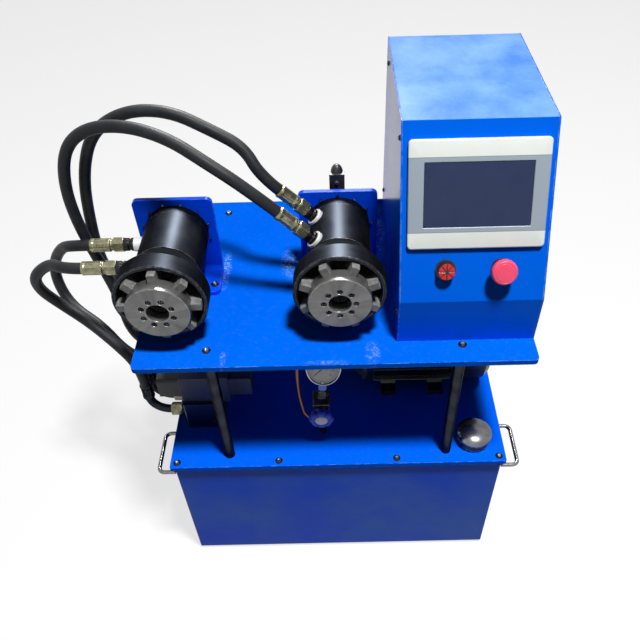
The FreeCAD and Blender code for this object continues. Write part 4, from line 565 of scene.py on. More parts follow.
def machined(name, dark, light, rough, centre=None, pitch=900.0, depth=0.00001, wear=0.3,
             worn=(0.45, 0.46, 0.48, 1.0), metallic=1.0, radius=0.0007, sweep=0.0, wall=None,
             shade_from=None):
    """Turned or ground steel whose tone and gloss vary along its tool marks. Faces along the
    axis can have their own tone, and deep inside a bore, behind a given level, the tone is painted
    near black as shade."""
    material, tree, inputs, vector = new_material(name, centre, Metallic=metallic,
                                                  Specular_Tint=(0.25, 0.25, 0.27, 1.0))
    marks = use(tree, "turning", vector, Pitch=pitch, Patch=40.0)
    share = spread(tree, marks["Tone"], 0.35, 0.65)
    if sweep:
        share = node(tree, "ShaderNodeMix", {0: sweep, 2: share, 3: marks["Sweep"]}).outputs[0]
    edge = use(tree, "wear", vector, Radius=radius, Breakup=160.0, Amount=wear)
    tone = blend_color(tree, share, dark, light)
    if wall is not None:
        tone = blend_color(tree, marks["Wall"], tone, wall)
        connect(tree, inputs, Metallic=spread(tree, marks["Wall"], 0.0, 1.0, metallic, 0.85))
    # Painted shade: inside the bore, from the given level back, the tone goes near black.
    if shade_from is not None:
        split = parts(tree, vector)
        level = node(tree, "ShaderNodeCombineXYZ", {0: split["X"], 1: split["Z"]}).outputs[0]
        deep = times(tree, spread(tree, split["Y"], shade_from, shade_from + 0.003),
                     spread(tree, far_from(tree, level), 0.021, 0.019))
        tone = blend_color(tree, deep, tone, (0.004, 0.004, 0.005, 1.0))
    connect(tree, inputs, Base_Color=blend_color(tree, edge["Mask"], tone, worn),
            Roughness=spread(tree, marks["Tone"], 0.3, 0.7, rough - 0.06, rough + 0.08))
    raise_surface(tree, inputs, marks["Height"], depth, edge["Normal"])
    return material


def moulded(name, color, stained, rough, grain=700.0, depth=0.00004, stain=30.0, metallic=0.0,
            wear=0.0, worn=grey(0.3), level=0.5, radius=0.0006):
    """Plastic, rubber, casting or plating: fine grain, larger stains and a rounded edge."""
    material, tree, inputs, vector = new_material(name, Metallic=metallic,
                                                  Specular_IOR_Level=level)
    skin = use(tree, "grime", vector, Grain=grain, Stain=stain)
    edge = use(tree, "wear", vector, Radius=radius, Breakup=200.0, Amount=wear)
    tone = blend_color(tree, skin["Stains"], color, stained)
    connect(tree, inputs, Base_Color=blend_color(tree, edge["Mask"], tone, worn),
            Roughness=spread(tree, skin["Stains"], 0.0, 1.0, rough - 0.05, rough + 0.08))
    raise_surface(tree, inputs, skin["Height"], depth, edge["Normal"])
    return material


def scuffed(material, spots, pale):
    """Adds pale, speckled patches of painted reflection (glare) to an enamel: each patch is an
    ellipse (x, y, half width, half depth, strength) that fades outward and is broken up by a fine
    noise."""
    tree, inputs, tone, vector = finished(material)
    broken = times(tree, spread(tree, noise(tree, vector, 240.0, 6.0, 0.75), 0.46, 0.60),
                   spread(tree, noise(tree, vector, 45.0, 3.0, 0.6), 0.35, 0.60))
    for x, y, wide, deep, strength in spots:
        away = node(tree, "ShaderNodeMapping", {
            "Vector": vector, "Location": (-x / wide, -y / deep, 0.0),
            "Scale": (1.0 / wide, 1.0 / deep, 0.0)}).outputs[0]
        fade = spread(tree, far_from(tree, away), 1.0, 0.35, 0.0, strength)
        tone = blend_color(tree, times(tree, fade, broken), tone, pale)
    connect(tree, inputs, Base_Color=tone)


def dress(material, *names):
    """Gives CAD nodes a material in their own slots."""
    for name in names:
        for slot in NODES[name].material_slots:
            slot.material = material


# Sizes and colours that a user would change

def length(name, about, default):
    return bpy.props.FloatProperty(name=name, description=about, default=default, min=0.0,
                                   unit="LENGTH", subtype="DISTANCE", precision=4)


def tint(name, about, default):
    return bpy.props.FloatVectorProperty(name=name, description=about, default=default, size=4,
                                         min=0.0, max=1.0, subtype="COLOR")


def amount(name, about, default, high=1.0):
    return bpy.props.FloatProperty(name=name, description=about, default=default, min=0.0,
                                   max=high, subtype="FACTOR" if high == 1.0 else "NONE")


class CRIMPER_PG_paint(bpy.types.PropertyGroup):
    """Enamel on the sheet metal"""
    deck: tint("Deck blue", "Enamel of deck, box and tank top", (0.0, 0.130, 0.80, 1.0))
    shade: tint("Thin blue", "Tone where the enamel is thin", (0.0, 0.085, 0.72, 1.0))
    tank: tint("Tank blue", "Enamel of the oil tank", (0.010, 0.084, 0.78, 1.0))
    # The pale blue of the edges is partly rubbed paint and partly a painted highlight along the
    # edges.
    worn: tint("Worn edge", "Colour of rubbed edges", (0.30, 0.55, 0.95, 1.0))
    dust: amount("Dust", "Dust on faces that look up", 0.03)
    scuffs: amount("Scuffs", "Strength of the scuffs on the tank", 0.35)


class CRIMPER_PG_hose(bpy.types.PropertyGroup):
    """Hoses and their fittings"""
    diameter: length("Hose diameter", "Outer diameter of each hose", 0.019)
    sleeve: length("Sleeve diameter", "Outer diameter of the pressed sleeves", 0.0228)
    sleeve_length: length("Sleeve length", "Length of the pressed sleeves", 0.040)
    flats: length("Nut flats", "Distance across the flats of the swivel nuts", 0.0224)
    rubber: tint("Rubber", "Colour of the hose cover", (0.007, 0.008, 0.010, 1.0))
    plating: tint("Plating", "Colour of the yellow zinc on the fittings", (0.36, 0.345, 0.21, 1.0))


class CRIMPER_PG_panel(bpy.types.PropertyGroup):
    """Operator panel, lamp and stop button"""
    width: length("Panel width", "Width of the bezel", 0.2004)
    height: length("Panel height", "Height of the bezel", 0.1565)
    window_width: length("Window width", "Width of the screen", 0.1554)
    window_height: length("Window height", "Height of the screen", 0.0929)
    band: length("Band", "Height of the pale bands above and below", 0.0247)
    pale: tint("Pale band", "Colour of the two bands", (0.80, 0.84, 0.80, 1.0))
    grey: tint("Grey field", "Colour of the bezel beside the screen", (0.33, 0.39, 0.45, 1.0))
    screen: tint("Screen", "Colour of the unlit screen", (0.018, 0.030, 0.085, 1.0))
    red: tint("Stop red", "Colour of the stop button", (0.95, 0.085, 0.18, 1.0))
    lamp: tint("Lamp red", "Colour of the lamp's lens", (0.80, 0.006, 0.010, 1.0))


class CRIMPER_PG_gauge(bpy.types.PropertyGroup):
    """Pressure gauge and its valve"""
    diameter: length("Case diameter", "Outer diameter of the gauge", 0.066)
    full_scale: bpy.props.IntProperty(name="Full scale", description="Last number on the dial",
                                      default=40, min=10)
    # The dial's grey is a white dial darkened as painted shade.
    dial: tint("Dial", "Colour of the dial", (0.46, 0.47, 0.47, 1.0))
    wheel: length("Handwheel", "Outer diameter of the handwheel", 0.046)
    wheel_blue: tint("Handwheel blue", "Colour of the handwheel", (0.010, 0.085, 0.95, 1.0))
    copper: tint("Copper", "Colour of the thin pipe", (0.22, 0.09, 0.055, 1.0))


class CRIMPER_PG_stage(bpy.types.PropertyGroup):
    """Floor, light and camera"""
    floor: tint("Floor", "Colour of the floor", grey(0.30))
    key: bpy.props.FloatProperty(name="Key light", description="Power of the lamp overhead",
                                 default=168.0, min=0.0, unit="POWER")
    sky: bpy.props.FloatProperty(name="Reflected panel", description="Power of the panel behind "
                                 "that only shiny surfaces show", default=260.0, min=0.0,
                                 unit="POWER")
    fill: amount("Fill", "Strength of the light from all round", 0.030, 2.0)
    focal: length("Focal length", "Camera lens for a 36 mm wide picture", 0.038351)


class CRIMPER_PG_machine(bpy.types.PropertyGroup):
    """All settings of the machine"""
    paint: bpy.props.PointerProperty(type=CRIMPER_PG_paint, name="Paint", description="Enamel")
    hose: bpy.props.PointerProperty(type=CRIMPER_PG_hose, name="Hoses", description="Hoses")
    panel: bpy.props.PointerProperty(type=CRIMPER_PG_panel, name="Panel", description="Panel")
    gauge: bpy.props.PointerProperty(type=CRIMPER_PG_gauge, name="Gauge", description="Gauge")
    stage: bpy.props.PointerProperty(type=CRIMPER_PG_stage, name="Stage", description="Stage")


def settings():
    return bpy.context.scene.crimping_machine


# Operators

class CRIMPER_OT_stage(bpy.types.Operator):
    """Pale floor, soft lamps overhead and behind, and the camera"""
    bl_idname = "crimper.stage"
    bl_label = "Stage"

    def execute(self, context):
        wanted = settings().stage
        self.floor(wanted)
        self.world(wanted)
        self.lamp("Key lamp", (0.60, -0.86, 4.1), (0.0, 0.0, 0.5), wanted.key, 0.42, 0.42)
        panel = self.lamp("Sky panel", (0.02, 2.45, 3.2), (0.0, 0.0, 0.8), wanted.sky, 0.85, 1.3)
        panel.visible_diffuse = False
        self.camera(context, wanted)
        return {"FINISHED"}

    def floor(self, wanted):
        """One flat sheet at Z = 0, wide enough to fill the picture."""
        side = np.linspace(-9.0, 9.0, 2)
        grid = np.stack([*np.meshgrid(side, side, indexing="ij"), np.zeros((2, 2))], axis=-1)
        mesh = bpy.data.meshes.new("floor")
        mesh.from_pydata(grid.reshape(-1, 3).tolist(), [], [(0, 2, 3, 1)])
        floor = put("floor", mesh)
        material, tree, inputs, vector = new_material("Floor", Roughness=0.9,
                                                      Specular_IOR_Level=0.0)
        fleck = spread(tree, noise(tree, vector, 60.0, 2.0), 0.3, 0.7, 0.0, 0.03)
        connect(tree, inputs, Base_Color=blend_color(tree, fleck, wanted.floor, grey(0.26)))
        glow = node(tree, "ShaderNodeEmission", {
            "Color": grey(1.0), "Strength": times(tree, self.seen(tree), FLOOR_GLOW)})
        shader = tree.nodes["Principled BSDF"]
        both = node(tree, "ShaderNodeAddShader", {0: shader.outputs[0], 1: glow.outputs[0]})
        tree.links.new(both.outputs[0], tree.nodes["Material Output"].inputs[0])
        mesh.materials.append(material)

    def seen(self, tree):
        """1 on rays from the camera, mirrored and refracted ones, and 0 on the others."""
        path = node(tree, "ShaderNodeLightPath").outputs
        return math_node(tree, "MAXIMUM", path["Is Camera Ray"], math_node(
            tree, "MAXIMUM", path["Is Glossy Ray"], path["Is Transmission Ray"]))

    def world(self, wanted):
        """Near white to the camera and in reflections, and a plain fill light otherwise."""
        world = bpy.data.worlds.new("Studio")
        bpy.context.scene.world = world
        world.use_nodes = True
        tree = world.node_tree
        tree.nodes.clear()
        strength = spread(tree, self.seen(tree), 0.0, 1.0, wanted.fill, BACKDROP)
        back = node(tree, "ShaderNodeBackground", {"Color": grey(1.0), "Strength": strength})
        node(tree, "ShaderNodeOutputWorld", {0: back.outputs[0]})

    def lamp(self, name, place, target, power, wide, deep):
        data = bpy.data.lights.new(name, "AREA")
        data.shape = "RECTANGLE"
        data.size, data.size_y, data.energy = wide, deep, power
        lamp = put(name, data)
        lamp.location = place
        lamp.rotation_euler = (Vector(target) - Vector(place)).to_track_quat("-Z", "Y").to_euler()
        return lamp

    def camera(self, context, wanted):
        """The camera's axes come from how far it looks down, sideways and leans."""
        down, aside, lean = 0.794642, -0.0072733, -0.0284882
        ahead = Vector((math.sin(aside) * math.cos(down), math.cos(aside) * math.cos(down),
                        -math.sin(down)))
        level = Vector((math.cos(aside), -math.sin(aside), 0.0))
        above = level.cross(ahead)
        right = math.cos(lean) * level + math.sin(lean) * above
        up = -math.sin(lean) * level + math.cos(lean) * above
        data = bpy.data.cameras.new("Camera")
        data.lens = wanted.focal * 1000.0
        data.sensor_width = 36.0
        data.sensor_fit = "HORIZONTAL"
        data.shift_x, data.shift_y = -17.0 / 640.0, 7.0 / 640.0
        data.clip_end = 50.0
        camera = put("Camera", data)
        camera.matrix_world = Matrix((right, up, -ahead)).transposed().to_4x4()
        camera.location = (0.01071, -0.92288, 1.42167)
        context.scene.camera = camera


class CRIMPER_OT_paintwork(bpy.types.Operator):
    """Enamel on tank, deck, brackets and control box"""
    bl_idname = "crimper.paintwork"
    bl_label = "Paintwork"

    def execute(self, context):
        paint = settings().paint
        dust, pale = paint.dust, paint.worn
        blue = (paint.deck, paint.shade, 0.35, dust, 0.15)
        enamels = {
            "deck_plate": ("Blue enamel", *blue, 0.24, pale, 0.9, 0.0),
            "head_brackets": ("Bracket enamel", (0.0, 0.075, 0.90, 1.0), (0.0, 0.045, 0.60, 1.0),
                              0.35, dust, 0.3, 0.26, pale, 0.7, 0.04, 0.0, 0.0008),
            # The box's top carries the painted sky reflection, at 0.46.
            "control_box": ("Box enamel", *blue, 0.26, pale, 0.9, 0.03, 0.46),
            "box_side_covers": ("Cover enamel", *blue, 0.20, pale, 0.9, 0.16),
            # The top plate's blue is the deck's enamel made brighter, to make up for the lower
            # light it gets under the deck: painted light.
            "tank_top_plate": ("Plate enamel with painted light", (0.0, 0.135, 1.0, 1.0), paint.shade, 0.25, dust,
                               0.15, 0.26, pale, 0.9, 0.0),
            "tank_shell": ("Tank enamel", paint.tank, (0.050, 0.150, 0.62, 1.0), 1.0, 0.2,
                           paint.scuffs, 0.36, (0.08, 0.16, 0.42, 1.0), 0.5, 0.05),
            "valve_manifold": ("Manifold enamel", (0.004, 0.010, 0.055, 1.0),
                               (0.006, 0.014, 0.07, 1.0), 0.6, 0.1, 0.3, 0.34,
                               (0.05, 0.09, 0.3, 1.0), 0.5, 0.2)}
        for name, values in enamels.items():
            dress(painted(*values), name)
        # Painted reflection: pale speckled patches of glare on the deck beside the brackets,
        # between the right bracket and the box, and along the front edge.
        scuffed(FINISHES["Blue enamel"],
                ((-0.192, 0.012, 0.010, 0.060, 0.85), (-0.078, 0.026, 0.020, 0.048, 0.7),
                 (0.088, 0.118, 0.012, 0.100, 0.9), (-0.177, -0.205, 0.006, 0.020, 0.6),
                 (0.061, -0.196, 0.014, 0.028, 0.6), (-0.010, -0.215, 0.040, 0.006, 0.3)),
                (0.42, 0.70, 1.0, 1.0))
        return {"FINISHED"}


class CRIMPER_OT_heads(bpy.types.Operator):
    """Black and ground steel of the two heads, with their screws and ring nuts"""
    bl_idname = "crimper.heads"
    bl_label = "Crimping heads"

    def execute(self, context):
        for side, head in HEADS.items():
            centre = (head["x"], 0.0, AXIS_LEVEL)
            # The pale worn edges are partly rubbed oxide and partly a painted highlight: they draw
            # the bright lines along the rims' chamfers.
            black = machined(side.title() + " black oxide", (0.018, 0.0205, 0.026, 1.0),
                             (0.032, 0.036, 0.043, 1.0), 0.40, centre, 500.0, 0.000006, 1.0,
                             (0.40, 0.41, 0.43, 1.0), metallic=0.95, radius=0.0011)
            ground = machined(side.title() + " ground steel", grey(0.10),
                              (0.21, 0.208, 0.205, 1.0), 0.30, centre, 1400.0, 0.000008, 0.9,
                              (0.78, 0.78, 0.77, 1.0), sweep=0.65, radius=0.0009,
                              wall=(0.36, 0.355, 0.35, 1.0),
                              shade_from=head["face"] - DISC_FRONT + 0.009)
            dress(black, side + "_barrel", side + "_closing_cone")
            dress(ground, side + "_front_disc", side + "_piston")
        black = FINISHES["Left black oxide"]
        dress(black, "rear_caps")
        dress(moulded("Tube oxide", (0.015, 0.015, 0.016, 1.0), grey(0.03), 0.5, 420.0, 0.00004,
                      60.0, 0.3, level=0.2), "core_tubes")
        jaw = moulded("Jaw steel", (0.25, 0.25, 0.245, 1.0), (0.11, 0.11, 0.108, 1.0), 0.50,
                      420.0, 0.00012, 120.0, 0.05, 0.6, (0.55, 0.55, 0.53, 1.0), level=0.2)
        dress(jaw, *("%s_jaw_%d" % (side, number) for side in HEADS for number in range(1, 9)))
        self.fasteners(black)
        return {"FINISHED"}

    def fasteners(self, black):
        """Socket screws in the discs and rear caps, black studs round the barrels and slotted
        ring nuts on the core tubes."""
        moulded("Bright zinc", (0.55, 0.56, 0.57, 1.0), (0.38, 0.39, 0.40, 1.0), 0.25, 600.0,
                0.00002, 60.0, 1.0)
        skin, studs = Skin(), Skin()
        behind = -0.008
        backward = Matrix.Rotation(math.pi, 4, "X")
        for side, head in HEADS.items():
            for number in range(8):
                skin.add(socket_head(0.0085, 0.006, 0.004), beside_bore(
                    side, 0.0245, head["spin"] + 22.5 + 45.0 * number, DISC_FRONT))
            for number in range(4):
                skin.add(socket_head(0.013, 0.008, 0.006),
                         beside_bore(side, 0.038, 45.0 + 90.0 * number, behind) @ backward)
            skin.add(slotted_ring(0.0223, 0.031, 0.010), on_head(side, 0, 0, behind) @ backward)
            for number in range(12):
                studs.add(socket_head(0.0040, 0.0030, 0.0018),
                          beside_bore(side, 0.0560, 30.0 * number + head["studs"]))
        skin.piece("head_screws", [black], "frame", "black_oxide", ["head_fasteners"])
        studs.piece("bracket_studs", [black], "frame", "black_oxide")


def hexagon(angles):
    return flats_reach(angles, 6)


def socket_head(diameter, height, socket):
    """Cap screw head: a turned cylinder with eased rim whose middle drops into a hexagon socket.
    Rows inside the socket follow a hexagon, the others a circle."""
    wide = diameter / 2.0
    flat = socket / 2.0
    rim = eased([(flat * 1.2, height), (wide, height), (wide, 0.0), (0.0, 0.0)], diameter * 0.08)
    profile = np.vstack([[(0.0, height * 0.4), (flat, height * 0.4), (flat, height)], rim])
    return turned(profile, 48, hexagon, np.concatenate([[0.0, 1.0, 1.0], np.zeros(len(rim))]))


def button_head(diameter, rise, socket):
    """Button screw head: a dome whose height falls with the radius to the power 2.4, and whose
    middle drops into a hexagon socket."""
    wide = diameter / 2.0
    flat = socket / 2.0
    radius = np.linspace(flat * 1.22, wide, 9)
    dome = np.column_stack([radius, rise * (1.0 - 0.86 * (radius / wide) ** 2.4)])
    inner = [(0.0, rise * 0.30), (flat, rise * 0.38), (flat, dome[0, 1] - 0.0001)]
    share = np.concatenate([[0.0, 1.0, 1.0], np.zeros(len(dome) + 2)])
    return turned(np.vstack([inner, dome, [(wide, 0.0), (0.0, 0.0)]]), 48, hexagon, share)


def slotted_ring(bore, outer, height):
    """Ring nut: a turned ring whose outer radius drops by 11% in four spanner slots, each
    reaching 5.6 degrees to both sides of a quarter turn."""
    def slots(angles):
        away = np.abs((angles + np.pi / 4) % (np.pi / 2) - np.pi / 4)
        return 1.0 - 0.11 * (away < math.radians(5.6))
    ring = eased([(bore, 0.0), (outer, 0.0), (outer, height), (bore, height), (bore, 0.0)], 0.0008)
    return turned(ring, 96, slots, (ring[:, 0] > (bore + outer) / 2).astype(float))


class CRIMPER_OT_hoses(bpy.types.Operator):
    """Four hoses as smooth splines with their swivel nuts, sleeves and elbows"""
    bl_idname = "crimper.hoses"
    bl_label = "Hoses"

    def execute(self, context):
        hose = settings().hose
        rubber = moulded("Hose rubber", hose.rubber, (0.018, 0.020, 0.024, 1.0), 0.50, 900.0,
                         0.00012, 45.0, level=0.22)
        zinc = moulded("Yellow zinc", hose.plating, (0.09, 0.09, 0.065, 1.0), 0.30, 500.0,
                       0.00003, 130.0, 0.85, 1.0, (0.80, 0.78, 0.66, 1.0), radius=0.0009)
        for name, route in HOSE_ROUTES.items():
            points = route["points"]
            fitting = self.fitting(name, route, hose, [zinc, FINISHES["Left black oxide"]])
            curve = bpy.data.curves.new(name + "_line", "CURVE")
            curve.dimensions = "3D"
            spline = curve.splines.new("NURBS")
            spline.points.add(len(points) - 1)
            spline.points.foreach_set("co", np.column_stack(
                [points, np.ones(len(points))]).ravel())
            spline.order_u = 3
            spline.use_endpoint_u = True
            curve.resolution_u = 14
            curve.bevel_depth = hose.diameter / 2.0
            curve.bevel_resolution = 8
            curve.use_fill_caps = True
            curve.materials.append(rubber)
            cord = put(name + "_cover", curve)
            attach(cord, "frame")
            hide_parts(name)
        self.adapters()
        return {"FINISHED"}

    def fitting(self, name, route, hose, finishes):
        """Swivel nut and sleeve at the head, then sleeve, elbow and long nut at the valve. The
        elbow is a quarter circle of bend radius R: x = -R sin t, z = R (1 - cos t)."""
        head = HEADS[route["head"]]
        axis, out = port_axis(head, route["forward"])
        skin = Skin()
        skin.add(hexagon_nut(hose.flats, 0.018),
                 standing(axis + out * (head["union"] + UNION_LENGTH), out, 0.3))
        sleeve = pressed_sleeve(hose.sleeve / 2.0, hose.sleeve_length)
        skin.add(sleeve, standing(axis + out * (head["union"] + 0.034), out))
        skin.add(hexagon_nut(hose.flats, 0.022),
                 standing((-0.300, route["row"], PORT_LEVEL), (-1, 0, 0)))
        turn = np.linspace(0.0, np.pi / 2, 17)
        bend = 0.036
        line = np.column_stack([-0.322 - bend * np.sin(turn), np.full(17, route["row"]),
                                PORT_LEVEL + bend * (1.0 - np.cos(turn))])
        # At the valve the elbow and the sleeve take black oxide, not the yellow zinc of the same
        # sleeve at the head: the black sleeve is painted shade for fittings in shade under the
        # deck.
        skin.add(tube_along(line, 0.008), finish=1)
        skin.add(sleeve, Matrix.Translation((ELBOW_FOOT_X, route["row"], PORT_LEVEL + bend)), 1)
        return skin.piece(name + "_fittings", finishes, "frame", "zinc", ["hose_fittings"])

    def adapters(self):
        """White bosses and black union screws between the heads and the hoses' nuts."""
        boss = moulded("Port nickel", grey(0.85), grey(0.72), 0.40, 400.0, 0.00001, 60.0, 0.35)
        black = machined("Port black", (0.02, 0.02, 0.022, 1.0), (0.05, 0.05, 0.055, 1.0), 0.34,
                         None, 300.0, 0.000006, 0.5)
        union = [(0, 0), (0.0108, 0), (0.0108, 0.005), (0.0090, 0.006), (0.0090, 0.008),
                 (0.0108, 0.009), (0.0108, UNION_LENGTH), (0, UNION_LENGTH)]
        skin = Skin()
        for head in HEADS.values():
            for forward in PORTS_FORWARD:
                axis, out = port_axis(head, forward)
                foot, wide = head["union"], head["boss"]
                ring = eased([(0, 0.046), (wide, 0.046), (wide, foot), (0, foot)], 0.0012)
                skin.add(turned(ring, 48), standing(axis, out), 0)
                raised = eased([(radius, foot + rise) for radius, rise in union], 0.0005)
                skin.add(turned(raised, 48), standing(axis, out), 1)
        skin.piece("port_unions", [boss, black], "frame", "black_oxide", ["port_adapters"])


class CRIMPER_OT_panel(bpy.types.Operator):
    """Operator panel: bezel with pale bands, screen, and collars of lamp and button"""
    bl_idname = "crimper.panel"
    bl_label = "Operator panel"

    def execute(self, context):
        panel = settings().panel
        wide, high = panel.width / 2.0, panel.height / 2.0
        window, tall = panel.window_width / 2.0, panel.window_height / 2.0
        middle = on_slant(0.1105 + wide, 0.2664 - 0.0255 - high)
        back, front, ease = -0.034, 0.0048, 0.0022
        rows = [tip(back), (wide - 0.007, high - 0.007, 0.002, back),
                (wide - 0.007, high - 0.007, 0.002, 0), (wide - 0.0004, high - 0.0004, 0.0056, 0),
                (wide, high, 0.006, 0.0006), (wide, high, 0.006, front)]
        for turn in np.linspace(0.0, np.pi / 2, 5):
            inward = ease * (1 - math.cos(turn))
            rows.append((wide - inward, high - inward, 0.006 - inward,
                         front + ease * math.sin(turn)))
        rows += [(window + 0.0008, tall + 0.0008, 0.0016, 0.0070),
                 (window, tall, 0.0010, 0.0064), (window, tall, 0.0010, front), tip(front)]
        Skin().add(framed_plate(rows, 6), middle).piece(
            "panel_frame", [self.bezel_finish(panel, middle)], "frame", "bezel_plastic",
            ["panel_bezel"])
        glass = [tip(0.0049), (window - 0.0003, tall - 0.0003, 0.001, 0.0049),
                 (window - 0.0003, tall - 0.0003, 0.001, 0.0057),
                 (window - 0.0006, tall - 0.0006, 0.001, 0.0060), tip(0.0060)]
        Skin().add(framed_plate(glass, 6), middle).piece(
            "screen_glass", [self.screen_finish(panel)], "frame", "screen_glass",
            ["panel_screen"])
        dress(moulded("Collar black", grey(0.02), grey(0.035), 0.35), "operator_collars")
        return {"FINISHED"}

    def bezel_finish(self, panel, middle):
        """Pale plastic with a grey field between two bands; a fine groove parts them. Height up
        the slope comes from the object's own coordinates turned to the panel."""
        material, tree, inputs, vector = new_material("Bezel plastic", Specular_IOR_Level=0.4)
        turn = middle.inverted()
        local = node(tree, "ShaderNodeMapping", {"Vector": vector, "Location": turn.translation,
                                                 "Rotation": turn.to_euler()}).outputs[0]
        away = math_node(tree, "ABSOLUTE", parts(tree, local)["Y"])
        edge = panel.height / 2.0 - panel.band
        band = spread(tree, away, edge - 0.0002, edge + 0.0002)
        groove = spread(tree, math_node(tree, "ABSOLUTE", math_node(tree, "SUBTRACT", away, edge)),
                        0.0, 0.0006)
        tone = blend_color(tree, band, panel.grey, panel.pale)
        tone = blend_color(tree, groove, (0.10, 0.12, 0.13, 1.0), tone)
        skin = use(tree, "grime", vector, Grain=1400.0, Stain=12.0)
        connect(tree, inputs,
                Base_Color=blend_color(tree, times(tree, skin["Stains"], 0.10), tone,
                                       (0.25, 0.27, 0.28, 1.0)),
                Roughness=spread(tree, skin["Stains"], 0.0, 1.0, 0.32, 0.42))
        raise_surface(tree, inputs, skin["Height"], 0.00003)
        return material

    def screen_finish(self, panel):
        """Dark glossy film over the unlit screen, with faint smears."""
        material, tree, inputs, vector = new_material(
            "Screen film", Coat_Weight=0.08, Coat_Roughness=0.06, Specular_IOR_Level=0.2)
        skin = use(tree, "grime", vector, Grain=90.0, Stain=24.0)
        connect(tree, inputs,
                Base_Color=blend_color(tree, times(tree, skin["Stains"], 0.35), panel.screen,
                                       (0.035, 0.055, 0.13, 1.0)),
                Roughness=spread(tree, skin["Stains"], 0.0, 1.0, 0.10, 0.26))
        raise_surface(tree, inputs, skin["Height"], 0.00001)
        return material


class CRIMPER_OT_lamp(bpy.types.Operator):
    """Red signal lamp with a ribbed lens"""
    bl_idname = "crimper.lamp"
    bl_label = "Signal lamp"

    def execute(self, context):
        panel = settings().panel
        red = moulded("Lamp lens", panel.lamp, (0.55, 0.004, 0.008, 1.0), 0.20, 500.0, 0.00001)
        dark = moulded("Lamp ribs", (0.012, 0.004, 0.004, 1.0), (0.02, 0.006, 0.006, 1.0), 0.5)
        place = on_slant(0.169, OPERATOR_UP)
        wide, face, level = 0.013, 0.013 - 0.0010, 0.0146
        side = eased([(0.0, -0.0045), (0.0097, -0.0045), (0.0097, 0.0035), (wide, 0.0035),
                      (wide, 0.0132), (face, level)], 0.0008)
        skin = Skin().add(turned(side, 96), place)
        angles = circle(192)
        radius = np.linspace(0.0, 1.0, 24)[:, None] * face
        beside = np.abs(off_ridge(angles)) * radius
        rib = np.clip(1.0 - beside / 0.0015, 0.0, 1.0) * (radius > 0.0026)
        hub = np.clip(1.0 - radius / 0.0034, 0.0, 1.0)
        height = (level + 0.0009 * np.cos(radius / face * np.pi / 2)
                  - 0.0010 * np.maximum(rib, hub))
        skin.add(around_axis(radius, angles, height), place)
        piece = skin.piece("lamp_cap", [red, dark], "frame", "red_lens", ["lamp_lens"])
        self.darken(piece, place)
        return {"FINISHED"}

    def darken(self, piece, place):
        """Faces of the eight grooves, the hub and the rim take the dark finish."""
        out, radius, angle = face_places(piece, place)
        beside = np.abs(off_ridge(angle)) * radius
        groove = (out > 0.0125) & (radius < 0.0112) & ((beside < 0.00095) | (radius < 0.0029))
        dark = groove | (radius > 0.0121)
        piece.data.polygons.foreach_set("material_index", dark.astype(np.int32))


class CRIMPER_OT_stop_button(bpy.types.Operator):
    """Red mushroom button"""
    bl_idname = "crimper.stop_button"
    bl_label = "Stop button"

    def execute(self, context):
        panel = settings().panel
        red = moulded("Stop red", panel.red, (0.86, 0.065, 0.14, 1.0), 0.36, 600.0, 0.00003,
                      24.0)
        wide = 0.0195
        profile = eased([(0.0, -0.023), (0.0099, -0.023), (0.0099, 0.0148), (0.0176, 0.0150),
                         (wide, 0.0180), (wide, 0.0232), (0.0176, 0.0265), (0.0152, 0.0272),
                         (0.0149, 0.0266), (0.0143, 0.0266), (0.0140, 0.0273), (0.006, 0.0275),
                         (0.0, 0.0275)], 0.0016, 5)
        skin = Skin().add(turned(profile, 96), on_slant(0.252, OPERATOR_UP))
        skin.piece("stop_mushroom", [red], "estop", "red_plastic", ["estop_button"], sharp=50.0)
        return {"FINISHED"}


def gauge_place(up=0.0):
    """A place on the gauge: X across its face, Y along its stem, Z out of the face."""
    turn = (Matrix.Rotation(math.radians(57.0), 4, "X")
            @ Matrix.Rotation(math.radians(-4.6), 4, "Z"))
    return (Matrix.Translation((GAUGE_X, -0.133, GAUGE_LEVEL)) @ turn
            @ Matrix.Translation((0.0, up, 0.0)))


